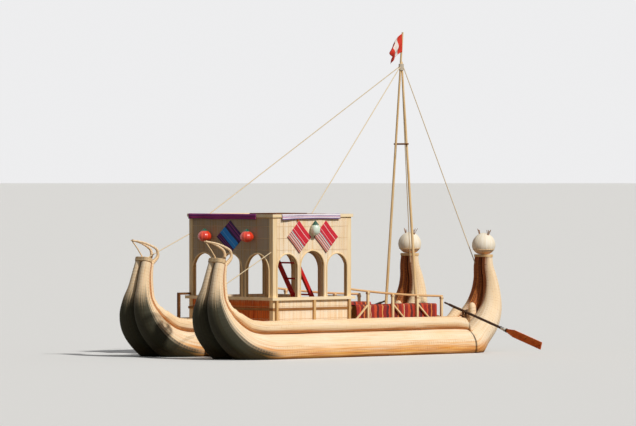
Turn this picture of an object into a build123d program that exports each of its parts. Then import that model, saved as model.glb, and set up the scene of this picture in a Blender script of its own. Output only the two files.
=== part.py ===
from build123d import *
import math
import os

# A double-hulled reed boat in millimetres. X points to the carved heads at the bow, Y to port and Z up.
# The origin is on the ground under the middle of the boat, where its four reed bundles rest.

os.makedirs("parts", exist_ok=True)

SIDES = (("stbd", -1), ("port", 1))

# The hulls
bundle_radius = 360
flat_aft = -2600
flat_fore = 2750
tail_overhang = 1148
tail_rise = 1745
bow_overhang = 1005
bow_rise = 1790
roll_radius = 130

# The deck
beam_height = 60
beam_width = 100
beam_count = 7
beam_inset = 150
deck_thickness = 40
deck_margin = 70
deck_to_roll = 10
bolster_radius = 45

# The cabin
cabin_fore = -145
cabin_post = 100
cabin_jamb = 20
wall_thickness = 50
wall_height = 2150
sill_height = 605
side_arch_width = 530
side_arch_pier = 90
side_arch_crown = 1445
middle_arch_extra = 90
middle_arch_rise = 60
end_arch_width = 660
end_arch_pier = 120
end_arch_crown = 1450
door_sill_height = 60
ledge_height = 60
ledge_depth = 60
band_height = 50
band_depth = 15
band_drop = 200
strut_width = 50
strut_depth = 40
roof_thickness = 60
rim_height = 60
rim_depth = 30
rim_lip = 20
roof_pole_radius = 30
roof_pole_inset = 60

# The ladder and the roof hatch that it reaches
ladder_foot = -515
ladder_run = 1290
ladder_depth = 85
ladder_rail = 60
ladder_inner = 480
ladder_y = -560
rung_rise = 316
rung_radius = 17
rung_count = 6
hatch_length = 760
hatch_side_room = 40
coaming = 40

# The fore deck
bench_start = 60
bench_length = 2230
bench_width = 400
bench_height = 395
bench_to_railing = 20
bench_board = 40
bench_leg = 60
bench_leg_count = 4
blanket_thickness = 14
blanket_hang = 300
rail_post = 50
rail_bar = 44
rail_end = 2380
rail_rise_aft = 760
rail_rise_fore = 580
rail_post_count = 4
rail_post_step = 680
brace_run = 230
brace_rise = 260
aft_rail_inset = 30
aft_rail_height = 665

# The mast
mast_x = 2415
mast_foot_spread = 440
mast_step_height = 60
mast_step_width = 160
mast_cross_height = 6000
staff_above_cross = 705
short_pole_above_cross = 110
pole_foot_radius = 30
pole_top_radius = 19
crossbar_height = 4440
crossbar_radius = 18
crossbar_overhang = 70
lashing_height = 130
lashing_cover = 20
lashing_fit = 0.2
stay_radius = 9
bow_stay_back = 75
bow_stay_inset = 105
bow_stay_drop = 250
eye_depth = 5
roof_stay_x_stbd = -1235
roof_stay_x_port = -1685
tail_rope_station = 6
corner_eye_stbd = 1515
corner_eye_port = 1865
flag_width = 340
flag_drop = 560
flag_fly_drop = 238
flag_fly_inset = 34
flag_fly_sag = 102
flag_thickness = 8

# The carved heads and the tails
collar_height = 50
collar_cover = 12
head_radius = 238
head_height = 440
head_widest_height = 202
head_brow_height = 405
ear_seat_height = 352
ear_length = 178
ear_radius = 22
ear_tip_radius = 10
ear_spread = 110
cap_height = 90
cap_cover = 12
loop_radius = 28
loop_tip_radius = 16
loop_tip_x = -3895
loop_tip_height = 2540

# The oars
oar_x = 2800
oar_dip = 16.5
oar_handle_length = 595
oar_shaft_length = 1200
oar_total_length = 2263
oar_radius = 26
grip_radius = 18
grip_length = 140
blade_width = 150
blade_thickness = 20
blade_root = 100
blade_shoulder = 260
tang_width = 40
oar_band_length = 90
oar_band_cover = 8
saddle_length = 180
saddle_width = 80
saddle_cover = 20
saddle_skirt = 40
stem_radius = 12
stem_length = 110
stem_clearance = 0.5
fork_gap = 0.3
fork_base = 10
fork_cheek = 14
fork_room = 6
fork_width = 50
fork_head = 28
pivot_rise = 85
cross_pin_radius = 7
pin_clearance = 0.3

# The textiles and ornaments
diamond_side = 460
diamond_pitch = 720
diamond_thickness = 12
diamond_height = 1780
bell_radius = 138
bell_height = 260
bell_reach = 620
bell_centre_height = 1810
pale_bell_radius = 92
pale_bell_height = 290
pale_bell_centre_height = 1955
roof_blanket_length = 1560
roof_blanket_reach = 290
roof_blanket_shift = 65
roof_blanket_hang = 110
aft_blanket_length = 1980
aft_blanket_shift = 210

# Columns: share of the overhang, share of the rise, share of the bundle's radius, share of the roll's radius.
TAIL = (
    (0.000, 0.000, 1.000, 1.00),
    (0.292, 0.032, 0.931, 0.98),
    (0.558, 0.106, 0.847, 0.92),
    (0.841, 0.261, 0.756, 0.82),
    (0.969, 0.413, 0.644, 0.70),
    (1.000, 0.562, 0.494, 0.58),
    (0.966, 0.702, 0.369, 0.50),
    (0.920, 0.865, 0.294, 0.42),
    (0.863, 1.000, 0.264, 0.34),
)
BOW = (
    (0.000, 0.000, 1.000, 1.00),
    (0.249, 0.028, 0.903, 0.80),
    (0.478, 0.123, 0.792, 0.50),
    (0.766, 0.274, 0.728, 0.30),
    (0.935, 0.430, 0.617, 0.20),
    (1.000, 0.592, 0.494, 0.20),
    (0.993, 0.749, 0.397, 0.20),
    (0.940, 0.894, 0.325, 0.20),
    (0.940, 1.000, 0.292, 0.20),
)
# Columns: how far a tail's horn has risen from its root, and how far it stands forward of it there.
HORN = (
    (105, 75),
    (190, 115),
    (275, 85),
    (330, 0),
)
outer_roll_bow_stations = 3
inner_roll_bow_stations = 4

cabin_length = 2 * (cabin_post + cabin_jamb + side_arch_pier) + 3 * side_arch_width + middle_arch_extra
cabin_aft = cabin_fore - cabin_length
cabin_half_width = cabin_post + cabin_jamb + 1.5 * end_arch_width + end_arch_pier
rail_line = cabin_half_width - rail_post / 2
bench_offset = rail_line - rail_post / 2 - bench_to_railing - bench_width / 2
deck_half_width = cabin_half_width + deck_margin
hull_spacing = 2 * (deck_half_width + deck_to_roll + roll_radius - bundle_radius)
staff_top = mast_cross_height + staff_above_cross
short_pole_top = mast_cross_height + short_pole_above_cross
aft_rail_start = flat_aft + aft_rail_inset
beam_base = 2 * bundle_radius
deck_base = beam_base + beam_height
deck_top = deck_base + deck_thickness
sill_top = deck_top + sill_height
wall_top = deck_top + wall_height
roof_top = wall_top + roof_thickness
rim_top = roof_top + rim_lip


def save(piece, name):
    piece.part.label = name
    export_step(piece.part, f"parts/{name}.step")


def save_group(pieces, name):
    """Like pieces that don't touch each other, kept in one node."""
    with BuildPart() as group:
        for piece in pieces:
            add(piece.part)
    save(group, name)


def spine_stations(table, start, overhang, rise):
    """Point, forward direction, upward direction and radii at each station, from the flat part outward."""
    outward = 1 if overhang > 0 else -1
    points = [Vector(start + overhang * row[0], 0, bundle_radius + rise * row[1]) for row in table]
    stations = []
    for index, row in enumerate(table):
        before = points[max(index - 1, 0)]
        after = points[min(index + 1, len(points) - 1)]
        forward = (after - before).normalized() * outward if index else Vector(1, 0, 0)
        upward = Vector(-forward.Z, 0, forward.X)
        stations.append((points[index], forward, upward, row[2] * bundle_radius, row[3] * roll_radius))
    return stations


tail_stations = spine_stations(TAIL, flat_aft, -tail_overhang, tail_rise)
bow_stations = spine_stations(BOW, flat_fore, bow_overhang, bow_rise)


def section_plane(centre, direction):
    """A plane square to a direction, with its X axis as near to the boat's Y axis as it can be."""
    z_dir = Vector(direction).normalized()
    sideways = Vector(1, 0, 0) if abs(z_dir.Y) > 0.9 else Vector(0, 1, 0)
    x_dir = (sideways - z_dir * sideways.dot(z_dir)).normalized()
    return Plane(origin=centre, x_dir=x_dir, z_dir=z_dir)


def bundle_sections(hull_y, side):
    """Section plane and radius of one main bundle, from the tail's tip to the post under the head."""
    sections = []
    for point, forward, _, radius, _ in list(reversed(tail_stations)) + bow_stations:
        sections.append((section_plane(point + Vector(0, hull_y + side * radius, 0), forward), radius))
    return sections


def roll_sections(hull_y, side, stations):
    """Section plane and radius of a gunwale roll that lies on its bundle through the given stations."""
    sections = []
    for point, forward, upward, radius, roll in stations:
        centre = point + Vector(0, hull_y + side * radius, 0) + upward * (radius + roll)
        sections.append((section_plane(centre, forward), roll))
    return sections


def joined_loft(sections):
    """One round bundle through its sections, with a straight tapered run from each to the next."""
    with BuildPart() as body:
        for run in zip(sections, sections[1:]):
            for plane, radius in run:
                with BuildSketch(plane):
                    Circle(radius)
            loft(ruled=True)
    return body


def taut_line(start, end, radius):
    """A taut rope or a straight rod from one point to another."""
    run = Vector(*end) - Vector(*start)
    with BuildPart() as body:
        with BuildSketch(section_plane(start, run)):
            Circle(radius)
        extrude(amount=run.length)
    return body


def block(low_corner, size):
    """A squared timber or slab from its lowest corner."""
    with BuildPart() as body:
        with Locations(low_corner):
            Box(*size, align=(Align.MIN, Align.MIN, Align.MIN))
    return body


def side_box(sign, x_range, y_range, z_range):
    """A block given by its X range, its distances from the boat's centre plane and its Z range."""
    y_low = min(sign * y_range[0], sign * y_range[1])
    size = (x_range[1] - x_range[0], y_range[1] - y_range[0], z_range[1] - z_range[0])
    return block((x_range[0], y_low, z_range[0]), size)


# The four main bundles, two side by side in each hull
bundles = {}
for hull, hull_sign in SIDES:
    for place, side in (("outer", hull_sign), ("inner", -hull_sign)):
        bundle = joined_loft(bundle_sections(hull_sign * hull_spacing / 2, side))
        bundles[hull, place] = bundle.part
        save(bundle, f"bundle_{hull}_{place}")

# The gunwale rolls. An outer one runs the whole length, and an inner one stops at the deck's two ends.
rolls = {}
roll_crest = beam_base + 2 * roll_radius
roll_line = hull_spacing / 2 + bundle_radius
aft_stations = list(reversed(tail_stations))
for hull, hull_sign in SIDES:
    hull_y = hull_sign * hull_spacing / 2
    outer_stations = aft_stations + bow_stations[:outer_roll_bow_stations]
    outer = joined_loft(roll_sections(hull_y, hull_sign, outer_stations))
    with BuildPart() as bored:
        add(outer.part)
        with Locations((oar_x, hull_sign * roll_line, roll_crest - stem_length)):
            Cylinder(
                stem_radius + stem_clearance,
                2 * stem_length,
                align=(Align.CENTER, Align.CENTER, Align.MIN),
                mode=Mode.SUBTRACT,
            )
    rolls[hull, "outer"] = bored.part
    save(bored, f"gunwale_roll_{hull}_outer")
    inner_aft = joined_loft(roll_sections(hull_y, -hull_sign, aft_stations))
    inner_fore_stations = bow_stations[:inner_roll_bow_stations]
    inner_fore = joined_loft(roll_sections(hull_y, -hull_sign, inner_fore_stations))
    rolls[hull, "aft"] = inner_aft.part
    save_group((inner_aft, inner_fore), f"gunwale_rolls_{hull}_inner")

# The tail of each hull: a lashed cap over the bundles' ends, and the rolls' ends bent over it to a horn
tail_point, tail_forward, tail_up, tail_radius, tail_roll = tail_stations[-1]
rising = tail_forward * -1
caps = {}
horns = {}
for hull, hull_sign in SIDES:
    cap_origin = tail_point + Vector(0, hull_sign * hull_spacing / 2, 0)
    with BuildPart() as cap:
        with BuildSketch(section_plane(cap_origin, rising)):
            SlotCenterToCenter(2 * tail_radius, 2 * tail_radius - cap_cover)
        extrude(amount=cap_height)
        chamfer(cap.faces().sort_by(Axis.Z)[-1].edges(), cap_cover)
    caps[hull] = cap
    tip = Vector(loop_tip_x, cap_origin.Y, loop_tip_height)
    with BuildPart() as loops:
        for side in (-1, 1):
            root = cap_origin + Vector(0, side * tail_radius, 0) + tail_up * (tail_radius + tail_roll)
            route = [root] + [root + rising * rise + tail_up * stand for rise, stand in HORN] + [tip]
            sections = [(section_plane(root, rising), tail_roll)]
            for before, here, after in zip(route, route[1:], route[2:]):
                sections.append((section_plane(here, after - before), loop_radius))
            sections.append((section_plane(tip, tip - route[-2]), loop_tip_radius))
            add(joined_loft(sections).part)
        strut = taut_line(cap_origin + rising * cap_height - tail_up * tail_radius / 2, tip, loop_tip_radius)
        add(strut.part)
        add(cap.part, mode=Mode.SUBTRACT)
    horns[hull] = loops
save_group(caps.values(), "tail_caps")
save_group(horns.values(), "tail_horns")

# The carved heads on the bow posts, each on a bound collar
post_point, post_forward, post_up, post_radius, _ = bow_stations[-1]
collars = {}
for hull, hull_sign in SIDES:
    post_top = post_point + Vector(0, hull_sign * hull_spacing / 2, 0)
    with BuildPart() as collar:
        with BuildSketch(section_plane(post_top, post_forward)):
            SlotCenterToCenter(2 * post_radius, 2 * (post_radius + collar_cover))
        extrude(amount=collar_height)
    collars[hull] = collar
    seat = section_plane(post_top + post_forward * collar_height, post_forward)
    with BuildPart() as head:
        with BuildSketch(Plane(origin=seat.origin, x_dir=seat.y_dir, z_dir=seat.y_dir.cross(seat.z_dir))):
            with BuildLine():
                brow = (post_radius, head_brow_height)
                ThreePointArc((post_radius, 0), (head_radius, head_widest_height), brow)
                Polyline(brow, (post_radius / 2, head_height), (0, head_height), (0, 0), (post_radius, 0))
            make_face()
        revolve(axis=Axis(seat.origin, seat.z_dir))
        for ear_sign in (-1, 1):
            ear = seat.origin + Vector(0, ear_sign * ear_spread, 0) + seat.z_dir * ear_seat_height
            with Locations(section_plane(ear, seat.z_dir)):
                Cone(
                    ear_radius,
                    ear_tip_radius,
                    ear_length,
                    align=(Align.CENTER, Align.CENTER, Align.MIN),
                )
    save(head, f"head_{hull}")
save_group(collars.values(), "head_collars")

# The deck: squared beams across the inner bundles, a slab of reed mats and a reed bolster at each end
with BuildPart() as beams:
    first = flat_aft + beam_inset
    step = (flat_fore - flat_aft - 2 * beam_inset) / (beam_count - 1)
    for index in range(beam_count):
        with Locations((first + index * step, 0, beam_base)):
            Box(
                beam_width,
                2 * deck_half_width,
                beam_height,
                align=(Align.CENTER, Align.CENTER, Align.MIN),
            )
save(beams, "cross_beams")
deck = block(
    (flat_aft, -deck_half_width, deck_base),
    (flat_fore - flat_aft, 2 * deck_half_width, deck_thickness),
)
save(deck, "deck_mat")
bolster_reach = rail_line - rail_post / 2
bolsters = []
for bolster_x in (flat_aft + bolster_radius, flat_fore - bolster_radius):
    bolster_z = deck_top + bolster_radius
    ends = ((bolster_x, -bolster_reach, bolster_z), (bolster_x, bolster_reach, bolster_z))
    bolsters.append(taut_line(*ends, bolster_radius))
save_group(bolsters, "deck_bolsters")

# The cabin's corner posts
posts = {}
for end, post_x in (("aft", cabin_aft), ("fore", cabin_fore - cabin_post)):
    for hull, sign in SIDES:
        post = side_box(
            sign,
            (post_x, post_x + cabin_post),
            (cabin_half_width - cabin_post, cabin_half_width),
            (deck_top, wall_top),
        )
        posts[end, hull] = post
save_group(posts.values(), "cabin_posts")


def arched_wall(plane, length, arches):
    """A wall panel with round-headed openings, each given as middle, width, foot and crown.

    The plane has X along the wall and Y up."""
    with BuildPart() as body:
        with BuildSketch(plane):
            Rectangle(length, wall_height, align=(Align.CENTER, Align.MIN))
            for middle, width, foot, crown in arches:
                spring = crown - width / 2
                with Locations((middle, foot)):
                    Rectangle(width, spring - foot, align=(Align.CENTER, Align.MIN), mode=Mode.SUBTRACT)
                with Locations((middle, spring)):
                    Circle(width / 2, mode=Mode.SUBTRACT)
        extrude(amount=wall_thickness)
    return body


side_wall_length = cabin_length - 2 * cabin_post
end_wall_length = 2 * (cabin_half_width - cabin_post)
cabin_middle = (cabin_aft + cabin_fore) / 2
side_pitch = side_arch_width + side_arch_pier + middle_arch_extra / 2
middle_arch_width = side_arch_width + middle_arch_extra
middle_arch_crown = side_arch_crown + middle_arch_rise
side_arches = (
    (-side_pitch, side_arch_width, sill_height, side_arch_crown),
    (0, middle_arch_width, sill_height, middle_arch_crown),
    (side_pitch, side_arch_width, sill_height, side_arch_crown),
)
for hull, sign in SIDES:
    face_y = sign * (cabin_half_width if sign > 0 else cabin_half_width - wall_thickness)
    plane = Plane(origin=(cabin_middle, face_y, deck_top), x_dir=(1, 0, 0), z_dir=(0, -1, 0))
    wall = arched_wall(plane, side_wall_length, side_arches)
    save(wall, f"cabin_wall_{hull}")
end_pitch = end_arch_width + end_arch_pier
end_walls = (("aft", cabin_aft, sill_height), ("fore", cabin_fore - wall_thickness, door_sill_height))
for end, face_x, middle_foot in end_walls:
    plane = Plane(origin=(face_x, 0, deck_top), x_dir=(0, 1, 0), z_dir=(1, 0, 0))
    end_arches = (
        (-end_pitch, end_arch_width, sill_height, end_arch_crown),
        (0, end_arch_width, middle_foot, end_arch_crown),
        (end_pitch, end_arch_width, sill_height, end_arch_crown),
    )
    wall = arched_wall(plane, end_wall_length, end_arches)
    save(wall, f"cabin_wall_{end}")


def outside_ring(base, height, depth, gap=None):
    """A frame that runs round the cabin's outside, cut through on the fore side where a gap is given."""
    with BuildPart() as body:
        with BuildSketch(Plane.XY.offset(base)):
            with Locations((cabin_middle, 0)):
                Rectangle(cabin_length + 2 * depth, 2 * (cabin_half_width + depth))
                Rectangle(cabin_length, 2 * cabin_half_width, mode=Mode.SUBTRACT)
            if gap:
                with Locations((cabin_fore + depth / 2, 0)):
                    Rectangle(2 * depth, gap, mode=Mode.SUBTRACT)
        extrude(amount=height)
    return body


ledge = outside_ring(sill_top - ledge_height, ledge_height, ledge_depth, end_arch_width)
save(ledge, "sill_ledge")
band = outside_ring(sill_top - ledge_height - band_drop, band_height, band_depth, end_arch_width)
save(band, "waist_band")
struts = []
strut_low = cabin_half_width + band_depth
for hull, sign in SIDES:
    for strut_x in (cabin_aft + strut_width, cabin_middle, cabin_fore - 2 * strut_width):
        struts.append(
            side_box(
                sign,
                (strut_x, strut_x + strut_width),
                (strut_low, strut_low + strut_depth),
                (deck_top, sill_top - ledge_height),
            )
        )
save_group(struts, "ledge_struts")

# The ladder inside the cabin leans aft against the roof hatch's far edge.
ladder_lean = ladder_run / wall_height
ladder_top = roof_top + coaming
ladder_top_x = ladder_foot - ladder_lean * (ladder_top - deck_top)
with BuildPart() as ladder:
    for side in (-1, 1):
        rail_y = ladder_y + side * (ladder_inner + ladder_rail) / 2
        with BuildSketch(Plane.XZ.offset(-rail_y - ladder_rail / 2)):
            with BuildLine():
                Polyline(
                    (ladder_foot, deck_top),
                    (ladder_foot + ladder_depth, deck_top),
                    (ladder_top_x + ladder_depth, ladder_top),
                    (ladder_top_x, ladder_top),
                    close=True,
                )
            make_face()
        extrude(amount=ladder_rail)
    for index in range(1, rung_count + 1):
        rung_z = deck_top + index * rung_rise
        rung_x = ladder_foot + ladder_depth / 2 - ladder_lean * index * rung_rise
        with BuildSketch(Plane.XZ.offset(-(ladder_y + ladder_inner / 2))):
            with Locations((rung_x, rung_z)):
                Circle(rung_radius)
        extrude(amount=ladder_inner)
save(ladder, "ladder")

# The roof: a flat slab with a hatch, a pale rim round its edge, a coaming and the poles that carry it
hatch_aft = ladder_top_x
hatch_width = ladder_inner + 2 * ladder_rail + 2 * hatch_side_room
with BuildPart() as roof:
    with BuildSketch(Plane.XY.offset(wall_top)):
        with Locations((cabin_middle, 0)):
            Rectangle(cabin_length, 2 * cabin_half_width)
        with Locations((hatch_aft + hatch_length / 2, ladder_y)):
            Rectangle(hatch_length, hatch_width, mode=Mode.SUBTRACT)
    extrude(amount=roof_thickness)
save(roof, "roof")
rim = outside_ring(rim_top - rim_height, rim_height, rim_depth)
save(rim, "roof_rim")
with BuildPart() as hatch_coaming:
    with BuildSketch(Plane.XY.offset(roof_top)):
        with Locations((hatch_aft + hatch_length / 2, ladder_y)):
            Rectangle(hatch_length + 2 * coaming, hatch_width + 2 * coaming)
            Rectangle(hatch_length, hatch_width, mode=Mode.SUBTRACT)
    extrude(amount=coaming)
save(hatch_coaming, "hatch_coaming")
with BuildPart() as roof_poles:
    pole_reach = cabin_half_width - wall_thickness
    for pole_x in (
        cabin_aft + cabin_post + roof_pole_inset,
        hatch_aft + hatch_length + roof_pole_inset,
        cabin_fore - cabin_post - roof_pole_inset,
    ):
        with BuildSketch(Plane.XZ.offset(-pole_reach)):
            with Locations((pole_x, wall_top - roof_pole_radius)):
                Circle(roof_pole_radius)
        extrude(amount=2 * pole_reach)
save(roof_poles, "roof_poles")

# The benches on the fore deck, each with a blanket over it
bench_top = deck_top + bench_height
for hull, sign in SIDES:
    inner_edge = bench_offset - bench_width / 2
    outer_edge = bench_offset + bench_width / 2
    with BuildPart() as bench:
        add(
            side_box(
                sign,
                (bench_start, bench_start + bench_length),
                (inner_edge, outer_edge),
                (bench_top - bench_board, bench_top),
            ).part
        )
        leg_step = (bench_length - 2 * bench_leg) / (bench_leg_count - 1)
        for index in range(bench_leg_count):
            leg_x = bench_start + bench_leg / 2 + index * leg_step
            leg = side_box(
                sign,
                (leg_x, leg_x + bench_leg),
                (inner_edge + bench_board, outer_edge - bench_board),
                (deck_top, bench_top - bench_board),
            )
            add(leg.part)
    save(bench, f"bench_{hull}")
    with BuildPart() as blanket:
        with BuildSketch(Plane.YZ.offset(bench_start)):
            with Locations((sign * bench_offset, bench_top + blanket_thickness)):
                Rectangle(
                    bench_width + 2 * blanket_thickness,
                    blanket_hang + blanket_thickness,
                    align=(Align.CENTER, Align.MAX),
                )
            with Locations((sign * bench_offset, bench_top)):
                Rectangle(
                    bench_width, blanket_hang, align=(Align.CENTER, Align.MAX), mode=Mode.SUBTRACT
                )
        extrude(amount=bench_length)
    save(blanket, f"bench_blanket_{hull}")

# The railings along the fore deck's edges and the short one aft of the cabin on the port side
rail_start = cabin_fore
rail_aft_top = deck_top + rail_rise_aft
rail_fore_top = deck_top + rail_rise_fore


def rail_height(x):
    """Height of the top rail's upper face at a place along the fore deck."""
    return rail_aft_top + (rail_fore_top - rail_aft_top) * (x - rail_start) / (rail_end - rail_start)


for hull, sign in SIDES:
    low_y = rail_line - rail_post / 2
    with BuildPart() as railing:
        with BuildSketch(Plane.XZ.offset(-sign * rail_line - rail_post / 2)):
            with BuildLine():
                Polyline(
                    (rail_start, rail_aft_top - rail_bar),
                    (rail_end + rail_post / 2, rail_height(rail_end + rail_post / 2) - rail_bar),
                    (rail_end + rail_post / 2, rail_height(rail_end + rail_post / 2)),
                    (rail_start, rail_aft_top),
                    close=True,
                )
            make_face()
            for index in range(rail_post_count):
                post_x = rail_end - index * rail_post_step
                with BuildLine():
                    Polyline(
                        (post_x - rail_post / 2, deck_top),
                        (post_x + rail_post / 2, deck_top),
                        (post_x + rail_post / 2, rail_height(post_x + rail_post / 2) - rail_bar / 2),
                        (post_x - rail_post / 2, rail_height(post_x - rail_post / 2) - rail_bar / 2),
                        close=True,
                    )
                make_face()
                lean = -1 if index == rail_post_count - 1 else 1
                if index > 0:
                    with BuildLine():
                        Polyline(
                            (post_x, deck_top + brace_rise),
                            (post_x, deck_top + brace_rise + rail_bar),
                            (post_x + lean * (brace_run + rail_bar), deck_top),
                            (post_x + lean * brace_run, deck_top),
                            close=True,
                        )
                    make_face()
        extrude(amount=rail_post)
    save(railing, f"railing_{hull}")
with BuildPart() as aft_railing:
    with BuildSketch(Plane.XZ.offset(-rail_line - rail_post / 2)):
        with BuildLine():
            Polyline(
                (aft_rail_start, deck_top),
                (aft_rail_start + rail_post, deck_top),
                (aft_rail_start + rail_post, deck_top + aft_rail_height - rail_bar),
                (cabin_aft, deck_top + aft_rail_height - rail_bar),
                (cabin_aft, deck_top + aft_rail_height),
                (aft_rail_start, deck_top + aft_rail_height),
                close=True,
            )
        make_face()
    extrude(amount=rail_post)
save(aft_railing, "railing_aft")

# The mast: two poles that lean together, each on a step, with a crossbar let into both
pole_foot = deck_top + mast_step_height
pole_lean = mast_foot_spread / (mast_cross_height - pole_foot)


def pole_radius(height):
    """Radius of either pole at a height, along its taper."""
    share = (height - pole_foot) / (staff_top - pole_foot)
    return pole_foot_radius + (pole_top_radius - pole_foot_radius) * share


with BuildPart() as crossbar:
    bar_reach = pole_lean * (mast_cross_height - crossbar_height) + crossbar_overhang
    with BuildSketch(Plane.XZ.offset(-bar_reach)):
        with Locations((mast_x, crossbar_height)):
            Circle(crossbar_radius)
    extrude(amount=2 * bar_reach)
save(crossbar, "mast_crossbar")


def mast_pole(sign, fore_sign, top, spare):
    """A tapered pole with level ends. Both poles touch the plane that crosses the boat at the mast."""
    with BuildPart() as body:
        for height in (pole_foot, top):
            radius = pole_radius(height)
            centre_y = sign * pole_lean * (mast_cross_height - height)
            with BuildSketch(Plane(origin=(mast_x + fore_sign * radius, centre_y, height))):
                Circle(radius + spare)
        loft(ruled=True)
    return body


# Columns: side, sign of the foot's Y, fore or aft of the crossing plane, height of the top.
POLES = (("port", 1, -1, staff_top), ("stbd", -1, 1, short_pole_top))
poles = {}
mast_steps = []
for hull, sign, fore_sign, top in POLES:
    with BuildPart() as pole:
        add(mast_pole(sign, fore_sign, top, 0).part)
        add(crossbar.part, mode=Mode.SUBTRACT)
    poles[hull] = pole.part
    save(pole, f"mast_pole_{hull}")
    step_y = sign * mast_foot_spread
    step_corner = (mast_x - mast_step_width / 2, step_y - mast_step_width / 2, deck_top)
    mast_steps.append(block(step_corner, (mast_step_width, mast_step_width, mast_step_height)))
save_group(mast_steps, "mast_steps")
lashing_half_width = pole_radius(mast_cross_height) + lashing_cover
lashing_half_length = 2 * pole_radius(mast_cross_height) + lashing_cover
with BuildPart() as lashing:
    with BuildSketch(Plane.XY.offset(mast_cross_height - lashing_height / 2)):
        with Locations((mast_x, 0)):
            Ellipse(lashing_half_length, lashing_half_width)
    extrude(amount=lashing_height)
    for hull, sign, fore_sign, top in POLES:
        add(mast_pole(sign, fore_sign, top, lashing_fit).part, mode=Mode.SUBTRACT)
save(lashing, "mast_lashing")
with BuildPart() as flag:
    hoist = staff_top - pole_top_radius
    hoist_x = mast_x - pole_top_radius
    with BuildSketch(Plane.XZ.offset(-pole_lean * (mast_cross_height - staff_top) - flag_thickness / 2)):
        with BuildLine():
            Polyline(
                (hoist_x, hoist),
                (hoist_x, hoist - flag_drop),
                (hoist_x - flag_width, hoist - flag_drop - flag_fly_sag),
                (hoist_x - flag_width + flag_fly_inset, hoist - flag_fly_drop),
                close=True,
            )
        make_face()
    extrude(amount=flag_thickness)
    add(poles["port"], mode=Mode.SUBTRACT)
save(flag, "flag")

# The blankets over the roof's edges, lying on the rim and hanging down outside it
rim_outside = cabin_half_width + rim_depth
with BuildPart() as side_blanket:
    with BuildSketch(Plane.YZ.offset(cabin_middle - roof_blanket_length / 2 - roof_blanket_shift)):
        with BuildLine():
            Polyline(
                (-rim_outside + roof_blanket_reach, rim_top),
                (-rim_outside, rim_top),
                (-rim_outside, rim_top - roof_blanket_hang),
                (-rim_outside - blanket_thickness, rim_top - roof_blanket_hang),
                (-rim_outside - blanket_thickness, rim_top + blanket_thickness),
                (-rim_outside + roof_blanket_reach, rim_top + blanket_thickness),
                close=True,
            )
        make_face()
    extrude(amount=roof_blanket_length)
save(side_blanket, "roof_blanket_stbd")
with BuildPart() as aft_blanket:
    rim_aft = cabin_aft - rim_depth
    with BuildSketch(Plane.XZ.offset(-aft_blanket_shift - aft_blanket_length / 2)):
        with BuildLine():
            Polyline(
                (rim_aft + roof_blanket_reach, rim_top),
                (rim_aft, rim_top),
                (rim_aft, rim_top - roof_blanket_hang),
                (rim_aft - blanket_thickness, rim_top - roof_blanket_hang),
                (rim_aft - blanket_thickness, rim_top + blanket_thickness),
                (rim_aft + roof_blanket_reach, rim_top + blanket_thickness),
                close=True,
            )
        make_face()
    extrude(amount=aft_blanket_length)
save(aft_blanket, "roof_blanket_aft")

# The main stays and the tail ropes, all taut. Each ends on the pieces that it is tied to.
rim_eye = rim_top - eye_depth
rim_line = cabin_half_width + rim_depth / 2


def lashing_eye(target):
    """The place on the mast's lashing, just under its face, where a stay to the target starts."""
    heading = math.atan2(target[1], target[0] - mast_x)
    along = math.cos(heading) / lashing_half_length
    across = math.sin(heading) / lashing_half_width
    reach = 1 / math.hypot(along, across) - eye_depth
    return (mast_x + reach * math.cos(heading), reach * math.sin(heading), mast_cross_height)


def tied_rope(start, end, held_by):
    """A taut rope that stops at the faces of what it is tied to."""
    rope = taut_line(start, end, stay_radius)
    with BuildPart() as cut:
        add(rope.part)
        for holder in held_by:
            add(holder, mode=Mode.SUBTRACT)
    return cut


bow_stays = []
for hull, sign in SIDES:
    eye_y = sign * (hull_spacing / 2 - bow_stay_inset)
    post_eye = (post_point.X - bow_stay_back, eye_y, post_point.Z - bow_stay_drop)
    holders = (lashing.part, bundles[hull, "inner"], bundles[hull, "outer"])
    bow_stays.append(tied_rope(lashing_eye(post_eye), post_eye, holders))
save_group(bow_stays, "bow_stays")
roof_stays = []
for sign, eye_x in ((-1, roof_stay_x_stbd), (1, roof_stay_x_port)):
    roof_eye = (eye_x, sign * rim_line, rim_eye)
    holders = (lashing.part, rim.part, side_blanket.part)
    roof_stays.append(tied_rope(lashing_eye(roof_eye), roof_eye, holders))
save_group(roof_stays, "roof_stays")
corner_x = cabin_aft + cabin_post / 2
corner_y = cabin_half_width - cabin_post / 2
stbd_roll_sections = roll_sections(-hull_spacing / 2, 1, tail_stations)
stbd_tail_rope = tied_rope(
    stbd_roll_sections[tail_rope_station][0].origin,
    (corner_x, -corner_y, deck_top + corner_eye_stbd),
    (rolls["stbd", "aft"], bundles["stbd", "inner"], posts["aft", "stbd"].part),
)
port_tail_rope = tied_rope(
    tail_point + Vector(0, hull_spacing / 2, 0) + rising * cap_height / 2,
    (corner_x, corner_y, deck_top + corner_eye_port),
    (caps["port"].part, bundles["port", "inner"], bundles["port", "outer"], posts["aft", "port"].part),
)
save_group((stbd_tail_rope, port_tail_rope), "tail_ropes")

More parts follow.
